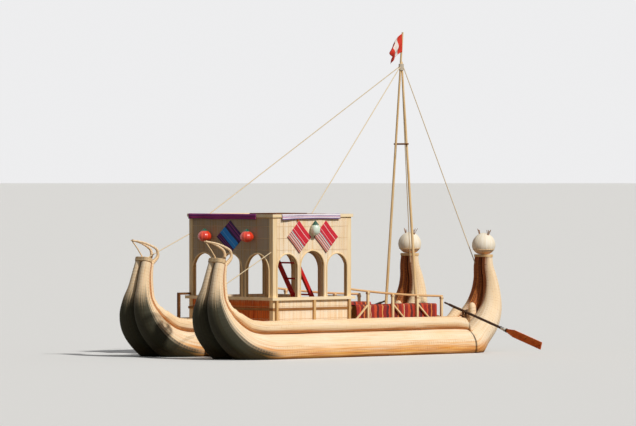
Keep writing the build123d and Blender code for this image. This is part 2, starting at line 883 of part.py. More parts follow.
# The oars, each pinned in a fork that turns on a stake driven into the outer roll
saddles = []
for hull, sign in SIDES:
    dip = math.radians(oar_dip)
    outward = Vector(0, sign * math.cos(dip), -math.sin(dip))
    stake = Vector(oar_x, sign * roll_line, 0)
    pivot = stake + Vector(0, 0, roll_crest + pivot_rise)
    oar_plane = Plane(origin=pivot, x_dir=(1, 0, 0), z_dir=outward)
    with BuildPart() as saddle:
        with Locations(stake + Vector(0, 0, roll_crest - saddle_skirt)):
            Box(
                saddle_length,
                saddle_width,
                saddle_skirt + saddle_cover,
                align=(Align.CENTER, Align.CENTER, Align.MIN),
            )
        with Locations(stake + Vector(0, 0, roll_crest)):
            Cylinder(stem_radius + stem_clearance, 3 * saddle_skirt, mode=Mode.SUBTRACT)
        add(rolls[hull, "outer"], mode=Mode.SUBTRACT)
    saddles.append(saddle)
    with BuildPart() as fork:
        fork_foot = roll_crest + saddle_cover + fork_gap
        inner_face = oar_radius + fork_room
        outer_face = inner_face + fork_cheek
        with Locations(stake + Vector(0, 0, fork_foot)):
            Box(2 * outer_face, fork_width, fork_base, align=(Align.CENTER, Align.CENTER, Align.MIN))
            Cylinder(
                stem_radius,
                stem_length - saddle_cover,
                align=(Align.CENTER, Align.CENTER, Align.MAX),
            )
        cheek_height = pivot.Z + fork_head - fork_foot
        for cheek_x in (-outer_face, inner_face):
            with Locations(stake + Vector(cheek_x, 0, fork_foot)):
                Box(fork_cheek, fork_width, cheek_height, align=(Align.MIN, Align.CENTER, Align.MIN))
        with Locations(Plane(origin=pivot, z_dir=(1, 0, 0))):
            Cylinder(cross_pin_radius, 2 * outer_face)
    save(fork, f"oar_fork_{hull}")
    with BuildPart() as blade:
        with BuildSketch(Plane(origin=pivot, x_dir=outward, z_dir=(1, 0, 0))):
            with BuildLine():
                root = oar_shaft_length
                Polyline(
                    (root - blade_root, tang_width / 2),
                    (root, tang_width / 2),
                    (root + blade_shoulder, blade_width / 2),
                    (oar_total_length, blade_width / 2),
                    (oar_total_length, -blade_width / 2),
                    (root + blade_shoulder, -blade_width / 2),
                    (root, -tang_width / 2),
                    (root - blade_root, -tang_width / 2),
                    close=True,
                )
            make_face()
        extrude(amount=blade_thickness / 2, both=True)
    save(blade, f"oar_blade_{hull}")
    with BuildPart() as shaft:
        with BuildSketch(oar_plane.offset(-oar_handle_length)):
            Circle(grip_radius)
        extrude(amount=grip_length)
        with BuildSketch(oar_plane.offset(grip_length - oar_handle_length)):
            Circle(oar_radius)
        extrude(amount=oar_handle_length - grip_length + oar_shaft_length)
        with Locations(Plane(origin=pivot, z_dir=(1, 0, 0))):
            Cylinder(cross_pin_radius + pin_clearance, 3 * oar_radius, mode=Mode.SUBTRACT)
        add(blade.part, mode=Mode.SUBTRACT)
    save(shaft, f"oar_shaft_{hull}")
    with BuildPart() as ferrule:
        with BuildSketch(oar_plane.offset(oar_shaft_length - blade_root)):
            Circle(oar_radius + oar_band_cover)
            Circle(oar_radius, mode=Mode.SUBTRACT)
        extrude(amount=oar_band_length)
    save(ferrule, f"oar_band_{hull}")
save_group(saddles, "oar_saddles")

# The diamond cloths on the cabin's walls
cloth_height = deck_top + diamond_height
with BuildPart() as diamonds:
    for sign in (-1, 1):
        face_y = sign * cabin_half_width + (diamond_thickness if sign > 0 else 0)
        cloth_middle = (cabin_middle, face_y, cloth_height)
        with BuildSketch(Plane(origin=cloth_middle, x_dir=(1, 0, 0), z_dir=(0, -1, 0))):
            with Locations((-diamond_pitch / 2, 0), (diamond_pitch / 2, 0)):
                Rectangle(diamond_side, diamond_side, rotation=45)
        extrude(amount=diamond_thickness)
    for face_x in (cabin_aft - diamond_thickness, cabin_fore):
        with BuildSketch(Plane(origin=(face_x, 0, cloth_height), x_dir=(0, 1, 0), z_dir=(1, 0, 0))):
            Rectangle(diamond_side, diamond_side, rotation=45)
        extrude(amount=diamond_thickness)
save(diamonds, "diamond_cloths")


# A bell's outline as shares of its radius and height, from the crown down to the mouth
bell_crown = (0.2, 0.5)
bell_neck = (0.7, 0.25)
bell_waist = (1, -0.1)
bell_lip = (0.7, -0.45)
bell_mouth = (0.55, -0.5)


def hanging_bell(radius, height, centre):
    """A closed bell hung on the wall, round in plan, with sloping shoulders."""
    with BuildPart() as body:
        with BuildSketch(Plane(origin=centre, x_dir=(1, 0, 0), z_dir=(0, -1, 0))):
            with BuildLine():
                outline = (bell_crown, bell_neck, bell_waist, bell_lip, bell_mouth)
                crown, neck, waist, lip, mouth = [(radius * x, height * y) for x, y in outline]
                ThreePointArc(lip, waist, neck)
                Polyline(neck, crown, (0, crown[1]), (0, mouth[1]), mouth, lip)
            make_face()
        revolve(axis=Axis(centre, (0, 0, 1)))
    return body


bell_middle = deck_top + bell_centre_height
aft_bells = []
side_bells = []
for sign in (-1, 1):
    centre = (cabin_aft - bell_radius, sign * bell_reach, bell_middle)
    aft_bells.append(hanging_bell(bell_radius, bell_height, centre))
    pale_middle = deck_top + pale_bell_centre_height
    pale_centre = (cabin_middle, sign * (cabin_half_width + pale_bell_radius), pale_middle)
    side_bells.append(hanging_bell(pale_bell_radius, pale_bell_height, pale_centre))
save_group(aft_bells, "red_bells")
save_group(side_bells, "pale_bells")
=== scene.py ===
import itertools
import math
import random

import bmesh
import bpy
from mathutils import Matrix, Vector, geometry, noise


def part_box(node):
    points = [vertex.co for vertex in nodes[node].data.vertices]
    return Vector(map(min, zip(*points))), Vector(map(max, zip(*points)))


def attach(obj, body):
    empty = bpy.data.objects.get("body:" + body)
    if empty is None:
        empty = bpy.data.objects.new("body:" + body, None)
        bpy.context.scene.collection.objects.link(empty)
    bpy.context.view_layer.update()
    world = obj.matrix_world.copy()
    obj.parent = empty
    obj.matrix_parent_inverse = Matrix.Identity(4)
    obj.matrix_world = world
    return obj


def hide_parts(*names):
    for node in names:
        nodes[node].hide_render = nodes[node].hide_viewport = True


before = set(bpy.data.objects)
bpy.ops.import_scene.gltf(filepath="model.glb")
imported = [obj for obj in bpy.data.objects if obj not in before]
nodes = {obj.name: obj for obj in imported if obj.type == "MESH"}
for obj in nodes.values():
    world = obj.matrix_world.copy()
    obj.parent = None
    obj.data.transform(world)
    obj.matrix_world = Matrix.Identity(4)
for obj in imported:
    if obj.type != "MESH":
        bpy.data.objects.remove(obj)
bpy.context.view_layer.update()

# The boat floats in its photograph, so the pale studio floor lies at its waterline and hides what is under.
# The camera stands far off on the starboard quarter, little higher than the deck, behind a long lens.
waterline = 0.235
photo_width = 636
pixels_per_radian = 5500
camera_distance = 110
azimuth = math.radians(-43)
elevation = math.radians(0.53)
level = math.cos(elevation)
away = Vector((math.sin(azimuth) * level, -math.cos(azimuth) * level, math.sin(elevation)))
look_at = Vector((0.107, 0, 3.055))


def placed(name, data):
    """A new object of the scene, which holds the data."""
    thing = bpy.data.objects.new(name, data)
    bpy.context.scene.collection.objects.link(thing)
    return thing


camera_data = bpy.data.cameras.new("camera")
camera_data.sensor_width = 36
camera_data.lens = camera_data.sensor_width * pixels_per_radian / photo_width
camera_data.clip_end = 1000
camera = placed("camera", camera_data)
camera.location = look_at + away * camera_distance
camera.rotation_euler = away.to_track_quat("Z", "Y").to_euler()
bpy.context.scene.camera = camera
bpy.context.scene.view_settings.view_transform = "Standard"


# The studio: a wide pale floor, a pale surround and one soft sun, high on the starboard beam. The floor is
# pale where the camera sees it, and darker for the light that it throws back under the hulls.
def tint(code):
    """A colour written as six hex digits, as the linear colour that a socket takes."""
    shares = [int(code[place : place + 2], 16) / 255 for place in (0, 2, 4)]
    return [s / 12.92 if s <= 0.04045 else ((s + 0.055) / 1.055) ** 2.4 for s in shares] + [1]


class Value:
    """A socket in a finish, so that maths on it reads as Python."""

    def __init__(self, finish, socket):
        self.finish = finish
        self.socket = socket

    def __add__(self, other):
        return self.finish.maths("ADD", self, other)

    def __sub__(self, other):
        return self.finish.maths("SUBTRACT", self, other)

    def __mul__(self, other):
        return self.finish.maths("MULTIPLY", self, other)

    def __truediv__(self, other):
        return self.finish.maths("DIVIDE", self, other)

    def __rsub__(self, other):
        return self.finish.maths("SUBTRACT", other, self)

    __radd__ = __add__
    __rmul__ = __mul__


class Finish:
    """A material or surround under way. Its node method adds a node, its settings first, then its inputs."""

    def __init__(self, name, kind="materials", end="Principled BSDF"):
        self.owner = getattr(bpy.data, kind).new(name)
        self.owner.use_nodes = True
        self.tree = self.owner.node_tree
        self.shader = self.tree.nodes[end]

    def node(self, kind, inputs, out=0, stops=(), ease="LINEAR", **settings):
        made = self.tree.nodes.new("ShaderNode" + kind)
        for name, value in settings.items():
            setattr(made, name, value)
        if stops:
            made.color_ramp.interpolation = ease
            while len(made.color_ramp.elements) < len(stops):
                made.color_ramp.elements.new(1)
            for element, (place, code) in zip(made.color_ramp.elements, stops):
                element.position = place
                element.color = tint(code)
        for key, value in inputs.items():
            self.feed(made.inputs[key], value)
        return Value(self, made.outputs[out])

    def feed(self, socket, value):
        if isinstance(value, Value):
            self.tree.links.new(value.socket, socket)
        else:
            socket.default_value = tint(value) if isinstance(value, str) else value

    def maths(self, operation, *values):
        return self.node("Math", dict(enumerate(values)), operation=operation)

    def place(self):
        return self.node("TexCoord", {}, out="Object")

    def own_map(self):
        return self.node("UVMap", {}, uv_map="UVMap")

    def stems(self):
        """The place round and along a roll of reed stems, and the tone of the stem there."""
        return self.attribute("stem"), self.attribute("tone", "Fac")

    def attribute(self, name, out="Vector"):
        return self.node("Attribute", {}, out=out, attribute_name=name)

    def parts(self, vector):
        split = self.node("SeparateXYZ", {0: vector})
        return [Value(self, socket) for socket in split.socket.node.outputs]

    def grain(self, vector, scale, detail=3.0, rough=0.55):
        spread = self.node("VectorMath", {0: vector, 1: scale}, operation="MULTIPLY")
        inputs = {"Vector": spread, "Scale": 1, "Detail": detail, "Roughness": rough}
        return self.node("TexNoise", inputs)

    def ramp(self, value, stops, ease="LINEAR"):
        return self.node("ValToRGB", {0: value}, stops=stops, ease=ease)

    def wave(self, value):
        """A sine between 0 and 1."""
        return self.maths("SINE", value) * 0.5 + 0.5

    def fade(self, value, low, high):
        """0 where the value is under low and 1 where it is over high."""
        return self.node("MapRange", {0: value, 1: low, 2: high, 3: 0, 4: 1}, interpolation_type="SMOOTHSTEP")

    def mix(self, share, first, second, blend="MIX"):
        inputs = {0: share, 6: first, 7: second}
        return self.node("Mix", inputs, out=2, data_type="RGBA", blend_type=blend)

    def rays_seen(self):
        """1 where the camera sees the place, directly or in gloss or glass, and 0 for other light."""
        kinds = ("Camera", "Glossy", "Transmission")
        rays = [self.node("LightPath", {}, out=f"Is {kind} Ray") for kind in kinds]
        return rays[0] + rays[1] + rays[2]

    def dress(
        self, colour, roughness, height=None, depth=0.002, strength=0.6, metallic=0.0, coat=0.0, shine=0.2
    ):
        self.feed(self.shader.inputs["Base Color"], colour)
        self.feed(self.shader.inputs["Roughness"], roughness)
        self.shader.inputs["Metallic"].default_value = metallic
        self.shader.inputs["Coat Weight"].default_value = coat
        self.shader.inputs["Specular IOR Level"].default_value = shine
        if height is not None:
            bump = self.node("Bump", {"Height": height, "Distance": depth, "Strength": strength})
            self.feed(self.shader.inputs["Normal"], bump)
        return self.owner


floor_half = 700
floor_mesh = bmesh.new()
at_waterline = Matrix.Translation((0, 0, waterline))
bmesh.ops.create_grid(floor_mesh, x_segments=1, y_segments=1, size=floor_half, matrix=at_waterline)
floor_data = bpy.data.meshes.new("floor")
floor_mesh.to_mesh(floor_data)
placed("floor", floor_data)
floor_finish = Finish("studio_floor")
floor_colour = floor_finish.mix(floor_finish.rays_seen(), "6A6660", "E9EAEA")
floor_data.materials.append(floor_finish.dress(floor_colour, 0.95))
sun_direction = Vector((0.02, -0.76, 0.65))
sun_data = bpy.data.lights.new("sun", "SUN")
sun_data.energy = 3.0
sun_data.angle = math.radians(2.5)
sun_data.color = (1, 0.965, 0.91)
placed("sun", sun_data).rotation_euler = sun_direction.to_track_quat("Z", "Y").to_euler()
surround_strength = 0.22
seen_strength = 0.86
surround = Finish("surround", "worlds", "Background")
bpy.context.scene.world = surround.owner
surround_lift = surround.rays_seen() * (seen_strength - surround_strength)
surround.feed(surround.shader.inputs["Strength"], surround_lift + surround_strength)
surround.shader.inputs["Color"].default_value = (0.99, 0.99, 1, 1)


# The four main bundles: thousands of dry reed stems bound into long tapering rolls, two to a hull, that rise
# at both ends. A cord winds round each. The shares below are those of the hull's solids.
forward = Vector((1, 0, 0))
across_boat = Vector((0, 1, 0))
upright = Vector((0, 0, 1))
bundle_radius = 0.36
roll_radius = 0.13
hull_line = (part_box("bundle_port_outer")[0].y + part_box("bundle_port_inner")[1].y) / 2
deck_low, deck_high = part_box("deck_mat")
flat_aft = deck_low.x
flat_fore = deck_high.x
tail_overhang = 1.148
tail_rise = 1.745
bow_overhang = 1.005
bow_rise = 1.79
# Columns: share of the overhang, share of the rise, share of the bundle's radius, share of the roll's radius.
TAIL = (
    (0.000, 0.000, 1.000, 1.00),
    (0.292, 0.032, 0.931, 0.98),
    (0.558, 0.106, 0.847, 0.92),
    (0.841, 0.261, 0.756, 0.82),
    (0.969, 0.413, 0.644, 0.70),
    (1.000, 0.562, 0.494, 0.58),
    (0.966, 0.702, 0.369, 0.50),
    (0.920, 0.865, 0.294, 0.42),
    (0.863, 1.000, 0.264, 0.34),
)
BOW = (
    (0.000, 0.000, 1.000, 1.00),
    (0.249, 0.028, 0.903, 0.80),
    (0.478, 0.123, 0.792, 0.50),
    (0.766, 0.274, 0.728, 0.30),
    (0.935, 0.430, 0.617, 0.20),
    (1.000, 0.592, 0.494, 0.20),
    (0.993, 0.749, 0.397, 0.20),
    (0.940, 0.894, 0.325, 0.20),
    (0.940, 1.000, 0.292, 0.20),
)


def hull_knots():
    """Place, radii and heading at each station, from the tail's tip to the post under the head."""
    rows = [(flat_aft - tail_overhang * row[0], tail_rise * row[1], row[2], row[3]) for row in reversed(TAIL)]
    rows += [(flat_fore + bow_overhang * row[0], bow_rise * row[1], row[2], row[3]) for row in BOW]
    places = [Vector((row[0], 0, bundle_radius + row[1])) for row in rows]
    radii = [Vector((row[2] * bundle_radius, row[3] * roll_radius, 0)) for row in rows]
    headings = []
    for index in range(len(rows)):
        before = places[max(index - 1, 0)]
        after = places[min(index + 1, len(rows) - 1)]
        level = rows[index][1] == 0
        headings.append(forward if level else (after - before).normalized())
    return list(zip(places, radii, headings))


hull_stations = hull_knots()
station_lengths = [0]
for here, there in zip(hull_stations, hull_stations[1:]):
    station_lengths.append(station_lengths[-1] + (there[0] - here[0]).length)


def bent_line(start, leave, arrive, end, steps):
    """A curve in so many steps, with the ways it leaves its start and reaches its end."""
    return geometry.interpolate_bezier(start, start + leave, end - arrive, end, steps + 1)


def smooth_spine(knots, lengths, steps):
    """Small steps of the hull's curved centre line: place, heading, upward, both radii and length."""
    slopes = []
    for index in range(len(knots)):
        low = max(index - 1, 0)
        high = min(index + 1, len(knots) - 1)
        level = knots[index][2].z == 0
        slope = (knots[high][1] - knots[low][1]) / (lengths[high] - lengths[low])
        slopes.append(Vector((0, 0, 0)) if level else slope)
    spine = []
    for index, (here, there) in enumerate(zip(knots, knots[1:])):
        run = (there[0] - here[0]).length
        count = steps * 3 if run > 1 else steps
        lead = run / 3
        path = bent_line(here[0], here[2] * lead, there[2] * lead, there[0], count)
        sizes = bent_line(here[1], slopes[index] * lead, slopes[index + 1] * lead, there[1], count)
        last = count + 1 if index == len(knots) - 2 else count
        for step in range(last):
            heading = (path[min(step + 1, count)] - path[max(step - 1, 0)]).normalized()
            upward = Vector((-heading.z, 0, heading.x))
            along = lengths[index] + run * step / count
            spine.append((path[step], heading, upward, sizes[step].x, sizes[step].y, along))
    return spine


spine = smooth_spine(hull_stations, station_lengths, 7)


def seated(place, axes, sizes):
    """The matrix that lays a unit shape along three axes at a place, at three sizes."""
    return Matrix.Translation(place) @ Matrix(axes).transposed().to_4x4() @ Matrix.Diagonal((*sizes, 1))


def piece_from(bm, name):
    """A finished bmesh as a piece of the boat. A face with many sides is an end, and stays flat."""
    for face in bm.faces:
        if len(face.verts) > 4:
            for edge in face.edges:
                edge.smooth = False
    data = bpy.data.meshes.new(name)
    bm.to_mesh(data)
    bm.free()
    data.shade_smooth()
    piece = placed(name, data)
    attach(piece, "boat")
    return piece


def finished(piece, material, slot, node=None):
    """Gives a piece its finish, and hides the solid that it stands for. Its slot is not used."""
    piece.data.materials.append(material)
    if node:
        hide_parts(node)
    return piece


def swollen(x, y, along, lump, seed):
    """How much a roll swells at a place round it and along it."""
    return 1 + lump * noise.noise(Vector((x * 1.3 + seed, y * 1.3, along * 1.1)))


def stem_roll(name, stations, material, slot, node=None, *, stems, groove, lump, seed):
    """A roll of reed stems through its stations: a ribbed ring that is extruded from each to the next.

    Groove and lump are the depths of its grooves and swellings, as shares of its radius."""
    draw = random.Random(seed)
    bm = bmesh.new()
    tone = bm.verts.layers.float.new("tone")
    stem = bm.verts.layers.float_vector.new("stem")
    ring = bmesh.ops.create_circle(bm, segments=2 * stems, radius=1)["verts"]
    for index, vert in enumerate(ring):
        crest = index % 2 == 1
        # Painted shade: the tone is 0 in the grooves between stems, and the finishes paint it darker.
        vert[tone] = draw.uniform(0.25, 1) if crest else 0
        reach = 1 + groove * draw.uniform(-0.3, 0.3) if crest else 1 - groove
        vert[stem] = vert.co * reach
    rim = list(bm.edges)
    full = max(station[3] for station in stations)
    for index, (place, heading, upward, radius, along) in enumerate(stations):
        if index:
            grown = bmesh.ops.extrude_edge_only(bm, edges=rim)["geom"]
            ring = [item for item in grown if isinstance(item, bmesh.types.BMVert)]
            rim = [item for item in grown if isinstance(item, bmesh.types.BMEdge) and item.is_boundary]
        onto = seated(place, (upward.cross(heading), upward, heading), (radius, radius, radius))
        drawn_at = full if index else 1
        for vert in ring:
            x = vert[stem].x / drawn_at
            y = vert[stem].y / drawn_at
            swell = swollen(x, y, along, lump, seed)
            vert.co = onto @ Vector((x * swell, y * swell, 0))
            vert[stem] = (x * full, y * full, along)
        if index in (0, len(stations) - 1):
            bmesh.ops.contextual_create(bm, geom=rim)
    bmesh.ops.recalc_face_normals(bm, faces=bm.faces)
    return finished(piece_from(bm, name), material, slot, node)


def cord_piece(name, runs, material, slot, *, radius, sides=1, body="boat"):
    """One or more lengths of tight cord or thin rod along lists of points. The map's U is in metres."""
    data = bpy.data.curves.new(name, "CURVE")
    data.dimensions = "3D"
    data.bevel_depth = radius
    data.bevel_resolution = sides
    data.use_fill_caps = True
    longest = 0
    for points in runs:
        line = data.splines.new("POLY")
        line.points.add(len(points) - 1)
        for spot, place in zip(line.points, points):
            spot.co = (*place, 1)
        longest = max(longest, sum((Vector(b) - Vector(a)).length for a, b in zip(points, points[1:])))
    holder = bpy.data.objects.new(name + ".line", data)
    mesh = bpy.data.meshes.new_from_object(holder)
    bpy.data.objects.remove(holder)
    mesh.name = name
    for corner in mesh.uv_layers["UVMap"].data:
        corner.uv.x *= longest
    mesh.shade_smooth()
    piece = placed(name, mesh)
    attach(piece, body)
    return finished(piece, material, slot)


def winding(stations, pitch, stand_off, *, start=0.0, end=1.0, hand=1, lump=0.0, seed=0, steps=20):
    """Points of a cord wound round a roll, so many steps to a turn. It follows the roll's own lumps."""
    total = stations[-1][4] - stations[0][4]
    points = []
    low = stations[0][4] + total * start
    high = stations[0][4] + total * end
    count = int((high - low) / pitch * steps)
    index = 0
    for step in range(count + 1):
        along = low + (high - low) * step / count
        while index < len(stations) - 2 and stations[index + 1][4] < along:
            index += 1
        here, there = stations[index], stations[index + 1]
        share = min(max((along - here[4]) / (there[4] - here[4]), 0), 1)
        place = here[0].lerp(there[0], share)
        heading = here[1].lerp(there[1], share).normalized()
        upward = here[2].lerp(there[2], share).normalized()
        turn = hand * math.tau * step / steps
        x, y = math.cos(turn), math.sin(turn)
        radius = (here[3] + (there[3] - here[3]) * share) * swollen(x, y, along, lump, seed) + stand_off
        points.append(place + upward.cross(heading) * radius * x + upward * radius * y)
    return points


def weathered_and_shaded(reed, colour, streak, reach, inside, under):
    """What splashes do to the reed, with painted shade: golden at the water, brown painted shade on the bow
    posts' side away from the sun, dark green painted shade under the tails, where the reed is also damp,
    and nearly black painted shade in the crease between twin bundles."""
    x, y, z = reed.parts(reed.place())
    from_crease = reed.maths("ABSOLUTE", reed.maths("ABSOLUTE", y) - hull_line)
    wet = 1 - reed.fade(z + (0.5 - reach) * 0.6, waterline + 0.02, waterline + 0.34)
    golden = reed.ramp(streak, ((0.3, "B05606"), (0.48, "E88E18"), (0.62, "FAB848")))
    colour = reed.mix(wet * 0.85, colour, golden)
    soaked = 1 - reed.fade(z + (0.5 - reach) * 0.1, waterline + 0.01, waterline + 0.07)
    colour = reed.mix(soaked * 0.85, colour, "4E2A12")
    # Painted shade: the bow posts' side away from the sun is painted brown with orange streaks.
    bow_post = reed.fade(x, flat_fore + 0.2, flat_fore + 0.45)
    bow_post = bow_post * reed.fade(z - from_crease * 1.2, 0.8, 1.05)
    sunward = reed.maths("SIGN", y) * hull_line - y
    post_shade = inside * bow_post * (1 - reed.fade(sunward + (reach - 0.5) * 0.16, 0.13, 0.22))
    post_shade_brown = reed.ramp(reach * 0.6 + streak * 0.4, ((0.38, "401806"), (0.5, "92400F"), (0.6, "DC8432")))
    colour = reed.mix(post_shade * 0.94, colour, post_shade_brown)
    # Painted shade: the underside of the tails is painted dark green, nearly black, on reed that is also
    # damp.
    tail = 1 - reed.fade(x + (reach - 0.5) * 0.6, flat_aft - 0.35, flat_aft + 0.15)
    tail_shade = under * tail * (1 - reed.fade(z + (reach - 0.5) * 0.6, 1.2, 1.75))
    colour = reed.mix(tail_shade * 0.95, colour, reed.ramp(streak, ((0.35, "030A07"), (0.65, "14240F"))))
    # Painted shade: the crease between twin bundles is painted nearly black.
    crease_shade = 1 - reed.fade(from_crease, 0.004, 0.03)
    return reed.mix(crease_shade * 0.85, colour, "24160C")


def reed_finish(name, deep, mid, pale, kind="plain", bleached="FFF3DF"):
    """Dry reed along a roll: every stem has its own tone, with fine streaks, and the grooves between stems
    take painted shade.
    """
    reed = Finish(name)
    stem, tone = reed.stems()
    _, around_y, along = reed.parts(stem)
    streak = reed.grain(stem, (70, 70, 1.6), 4)
    patch = reed.grain(stem, (2.2, 2.2, 0.9), 3)
    reach = reed.grain(stem, (26, 26, 0.8), 4)
    shade = tone * 0.36 + streak * 0.6 + (patch - 0.5) * 0.45 + 0.04
    colour = reed.ramp(shade, ((0.0, deep), (0.28, mid), (0.52, pale), (0.85, bleached)))
    turns = reed.wave(along * (math.tau / 0.03))
    if kind != "plain":
        stain = reed.fade(reed.grain(stem, (10, 10, 0.45), 4), 0.56, 0.72)
        colour = reed.mix(stain * 0.5, colour, "DE9338")
        crack = reed.fade(reed.grain(stem, (60, 60, 0.6), 5), 0.6, 0.68)
        colour = reed.mix(crack * 0.5, colour, "A4602A")
    if kind == "bundle":
        # Masks for painted shade: the inner upper side of each bundle and its underside.
        inside = reed.fade(around_y + (streak - 0.5) * 0.2, -0.06, 0.06)
        under = 1 - reed.fade(around_y + (reach - 0.5) * 0.4, -0.08, 0.08)
        colour = weathered_and_shaded(reed, colour, streak, reach, inside, under)
    if kind == "gunwale":
        # Painted shade: the lower side of each gunwale roll, down by its bundle, is painted orange-brown.
        roll_underside_shade = 1 - reed.fade(around_y + (reach - 0.5) * 0.14, -0.1, -0.035)
        colour = reed.mix(roll_underside_shade * 0.85, colour, reed.ramp(streak, ((0.35, "8A3F0E"), (0.6, "D88934"))))
    bump = streak * 0.6 + tone * 0.3 + turns * 0.16
    return reed.dress(colour, 0.62 + 0.2 * streak, bump, 0.004, 0.6)


bundle_reed = reed_finish("bundle_reed", "C28A4C", "EFCF9F", "FBE6C8", "bundle", "FFF4E4")
roll_reed = reed_finish("roll_reed", "C48645", "F0CC99", "FBE3C2", "gunwale", "FFF2E0")


def rope_finish(name, dark, pale, lay=0.03):
    """Twisted fibre rope, its strands drawn along the cord's own map."""
    rope = Finish(name)
    along, around, _ = rope.parts(rope.own_map())
    twist = rope.wave((along / lay + around * 3) * math.tau)
    fuzz = rope.grain(rope.place(), (300, 300, 300), 2)
    colour = rope.ramp(twist * 0.7 + fuzz * 0.3, ((0.1, dark), (0.8, pale)))
    return rope.dress(colour, 0.85, twist, 0.002, 0.7)


def tail_depth(finish, x, z):
    """How far a place lies under the tail's centre line, which nearly follows a circle."""
    bend = 1.162
    ahead = x - flat_aft
    above = z - (bundle_radius + bend)
    return finish.maths("SQRT", ahead * ahead + above * above) - bend


hull_cord = Finish("hull_cord")
cord_place = hull_cord.place()
cord_x, _, cord_z = hull_cord.parts(cord_place)
cord_streak = hull_cord.grain(cord_place, (14, 14, 14), 3)
cord_colour = hull_cord.ramp(cord_streak, ((0.3, "D2A264"), (0.5, "F0CF9E"), (0.7, "FBE6C6")))
cord_under = hull_cord.fade(tail_depth(hull_cord, cord_x, cord_z) + (cord_streak - 0.5) * 0.1, -0.02, 0.1)
cord_rise = hull_cord.maths("MAXIMUM", 1.5 - cord_z, 0)
cord_inside = 1 - hull_cord.fade(cord_x + cord_rise * cord_rise * 0.55, flat_fore + 0.9, flat_fore + 1.0)
# Painted shade: the cords take the same painted shade as the reed under them, brown on the bow posts, dark
# green under the tails and nearly black in the creases.
cord_colour = weathered_and_shaded(hull_cord, cord_colour, cord_streak, cord_streak, cord_inside, cord_under)
cord_finish = hull_cord.dress(cord_colour, 0.8)
reed_cord = rope_finish("reed_cord", "D2A264", "F6E2BE")
hulls = (("stbd", -1), ("port", 1))
bundle_lump = 0.03
cord_pitch = 0.062
for hull, sign in hulls:
    for place_name, side in (("outer", sign), ("inner", -sign)):
        stations = [
            (place + across_boat * (sign * hull_line + side * radius), heading, upward, radius, along)
            for place, heading, upward, radius, _, along in spine
        ]
        name = f"{hull}_{place_name}"
        node = f"bundle_{name}"
        seed = 3 * sign + side + 7
        lumps = {"lump": bundle_lump, "seed": seed}
        stem_roll(
            f"reeds_{name}", stations, bundle_reed, "reed_bundle", node, stems=112, groove=0.011, **lumps
        )
        turns = winding(stations, cord_pitch, 0.0012, start=0.01, end=0.99, hand=side, steps=18, **lumps)
        cord_piece(f"bundle_cord_{name}", [turns], cord_finish, "reed_binding", radius=0.0027, sides=0)


# The gunwale rolls: thinner rolls of stems sewn along the top of each bundle. An outer one runs the whole
# flat of the hull and sinks away at the bow. An inner one stops at each end of the deck, and climbs the bow
# to a round end.
flat_start = station_lengths[len(TAIL) - 1]
flat_end = station_lengths[len(TAIL)]
inner_end = station_lengths[len(TAIL) + 3]
roll_lump = 0.05
outer_end = flat_end + 0.45
sink_start = flat_end - 0.1
lobe_end = inner_end + 0.07
lobe_start = lobe_end - 0.13


def roll_stations(hull_y, side, low, high, sink=None):
    """Seat and radius of each ring of a gunwale roll between two places along the hull.

    From the place named sink on, it thins, slides outward and sinks into the flank of its bundle."""
    stations = []
    for place, heading, upward, radius, roll, along in spine:
        if low <= along <= high:
            climb = max(0, along - flat_end) / (inner_end - flat_end)
            girth = roll + (roll_radius * 0.85 - roll) * climb
            sunk = max(0, (along - sink) / (high - sink)) if sink else 0
            thin = girth * (1 - 0.88 * sunk**1.5)
            lean = 0.5 * sunk
            outward = upward * math.cos(lean) + across_boat * side * math.sin(lean)
            middle = place + across_boat * (hull_y + side * radius) + outward * (radius + thin * (1 - sunk))
            stations.append((middle, heading, upward, thin, along))
    return stations


def dying_away(stations, start, end):
    """Stations that shrink to a point and sink into the bundle between two places along the hull."""
    tapered = []
    for place, heading, upward, radius, along in stations:
        share = max(0, min(1, (along - start) / (end - start)))
        thin = radius * math.sqrt(1 - 0.96 * share * share)
        tapered.append((place - upward * (radius - thin) * 0.8, heading, upward, thin, along))
    return tapered


for hull, sign in hulls:
    hull_y = sign * hull_line
    outer = roll_stations(hull_y, sign, 0, outer_end, sink_start)
    aft = roll_stations(hull_y, -sign, 0, flat_start)
    fore = dying_away(roll_stations(hull_y, -sign, flat_end, lobe_end), lobe_start, lobe_end)
    for roll_name, stations, node in (
        ("outer", outer, f"gunwale_roll_{hull}_outer"),
        ("inner_aft", aft, f"gunwale_rolls_{hull}_inner"),
        ("inner_fore", fore, f"gunwale_rolls_{hull}_inner"),
    ):
        name = f"{hull}_{roll_name}"
        lumps = {"lump": roll_lump, "seed": 11 + len(stations) * sign}
        stem_roll(f"roll_{name}", stations, roll_reed, "reed_roll", node, stems=46, groove=0.02, **lumps)
        turns = winding(stations, cord_pitch, 0.001, start=0.01, end=0.99, steps=14, **lumps)
        cord_piece(f"roll_cord_{name}", [turns], cord_finish, "reed_binding", radius=0.0026, sides=0)


# The stubs: a short bundle of reeds with a rounded top stands in the crease at the foot of each bow post,
# wound with a few turns of cord.
stub_foot = 0.72
stub_height = 0.51
stub_x = 3.37
stub_cords = []
stub_reed = reed_finish("stub_reed", "C48645", "F0CC99", "FBE3C2", "plain", "FFF2E0")
# Columns: share of the height and radius.
STUB = ((0.0, 0.085), (0.3, 0.085), (0.6, 0.083), (0.8, 0.078), (0.9, 0.066), (0.97, 0.043), (1.0, 0.014))
for hull, sign in hulls:
    foot = Vector((stub_x, sign * hull_line, stub_foot))
    stations = [
        (foot + upright * (stub_height * share), upright, forward, girth, share) for share, girth in STUB
    ]
    seed = 40 + sign
    stem_roll(f"stub_{hull}", stations, stub_reed, "reed_roll", stems=24, groove=0.03, lump=0.05, seed=seed)
    stub_cords.append(winding(stations, 0.12, 0.001, start=0.2, end=0.85))
cord_piece("stub_cord", stub_cords, reed_cord, "reed_binding", radius=0.003)


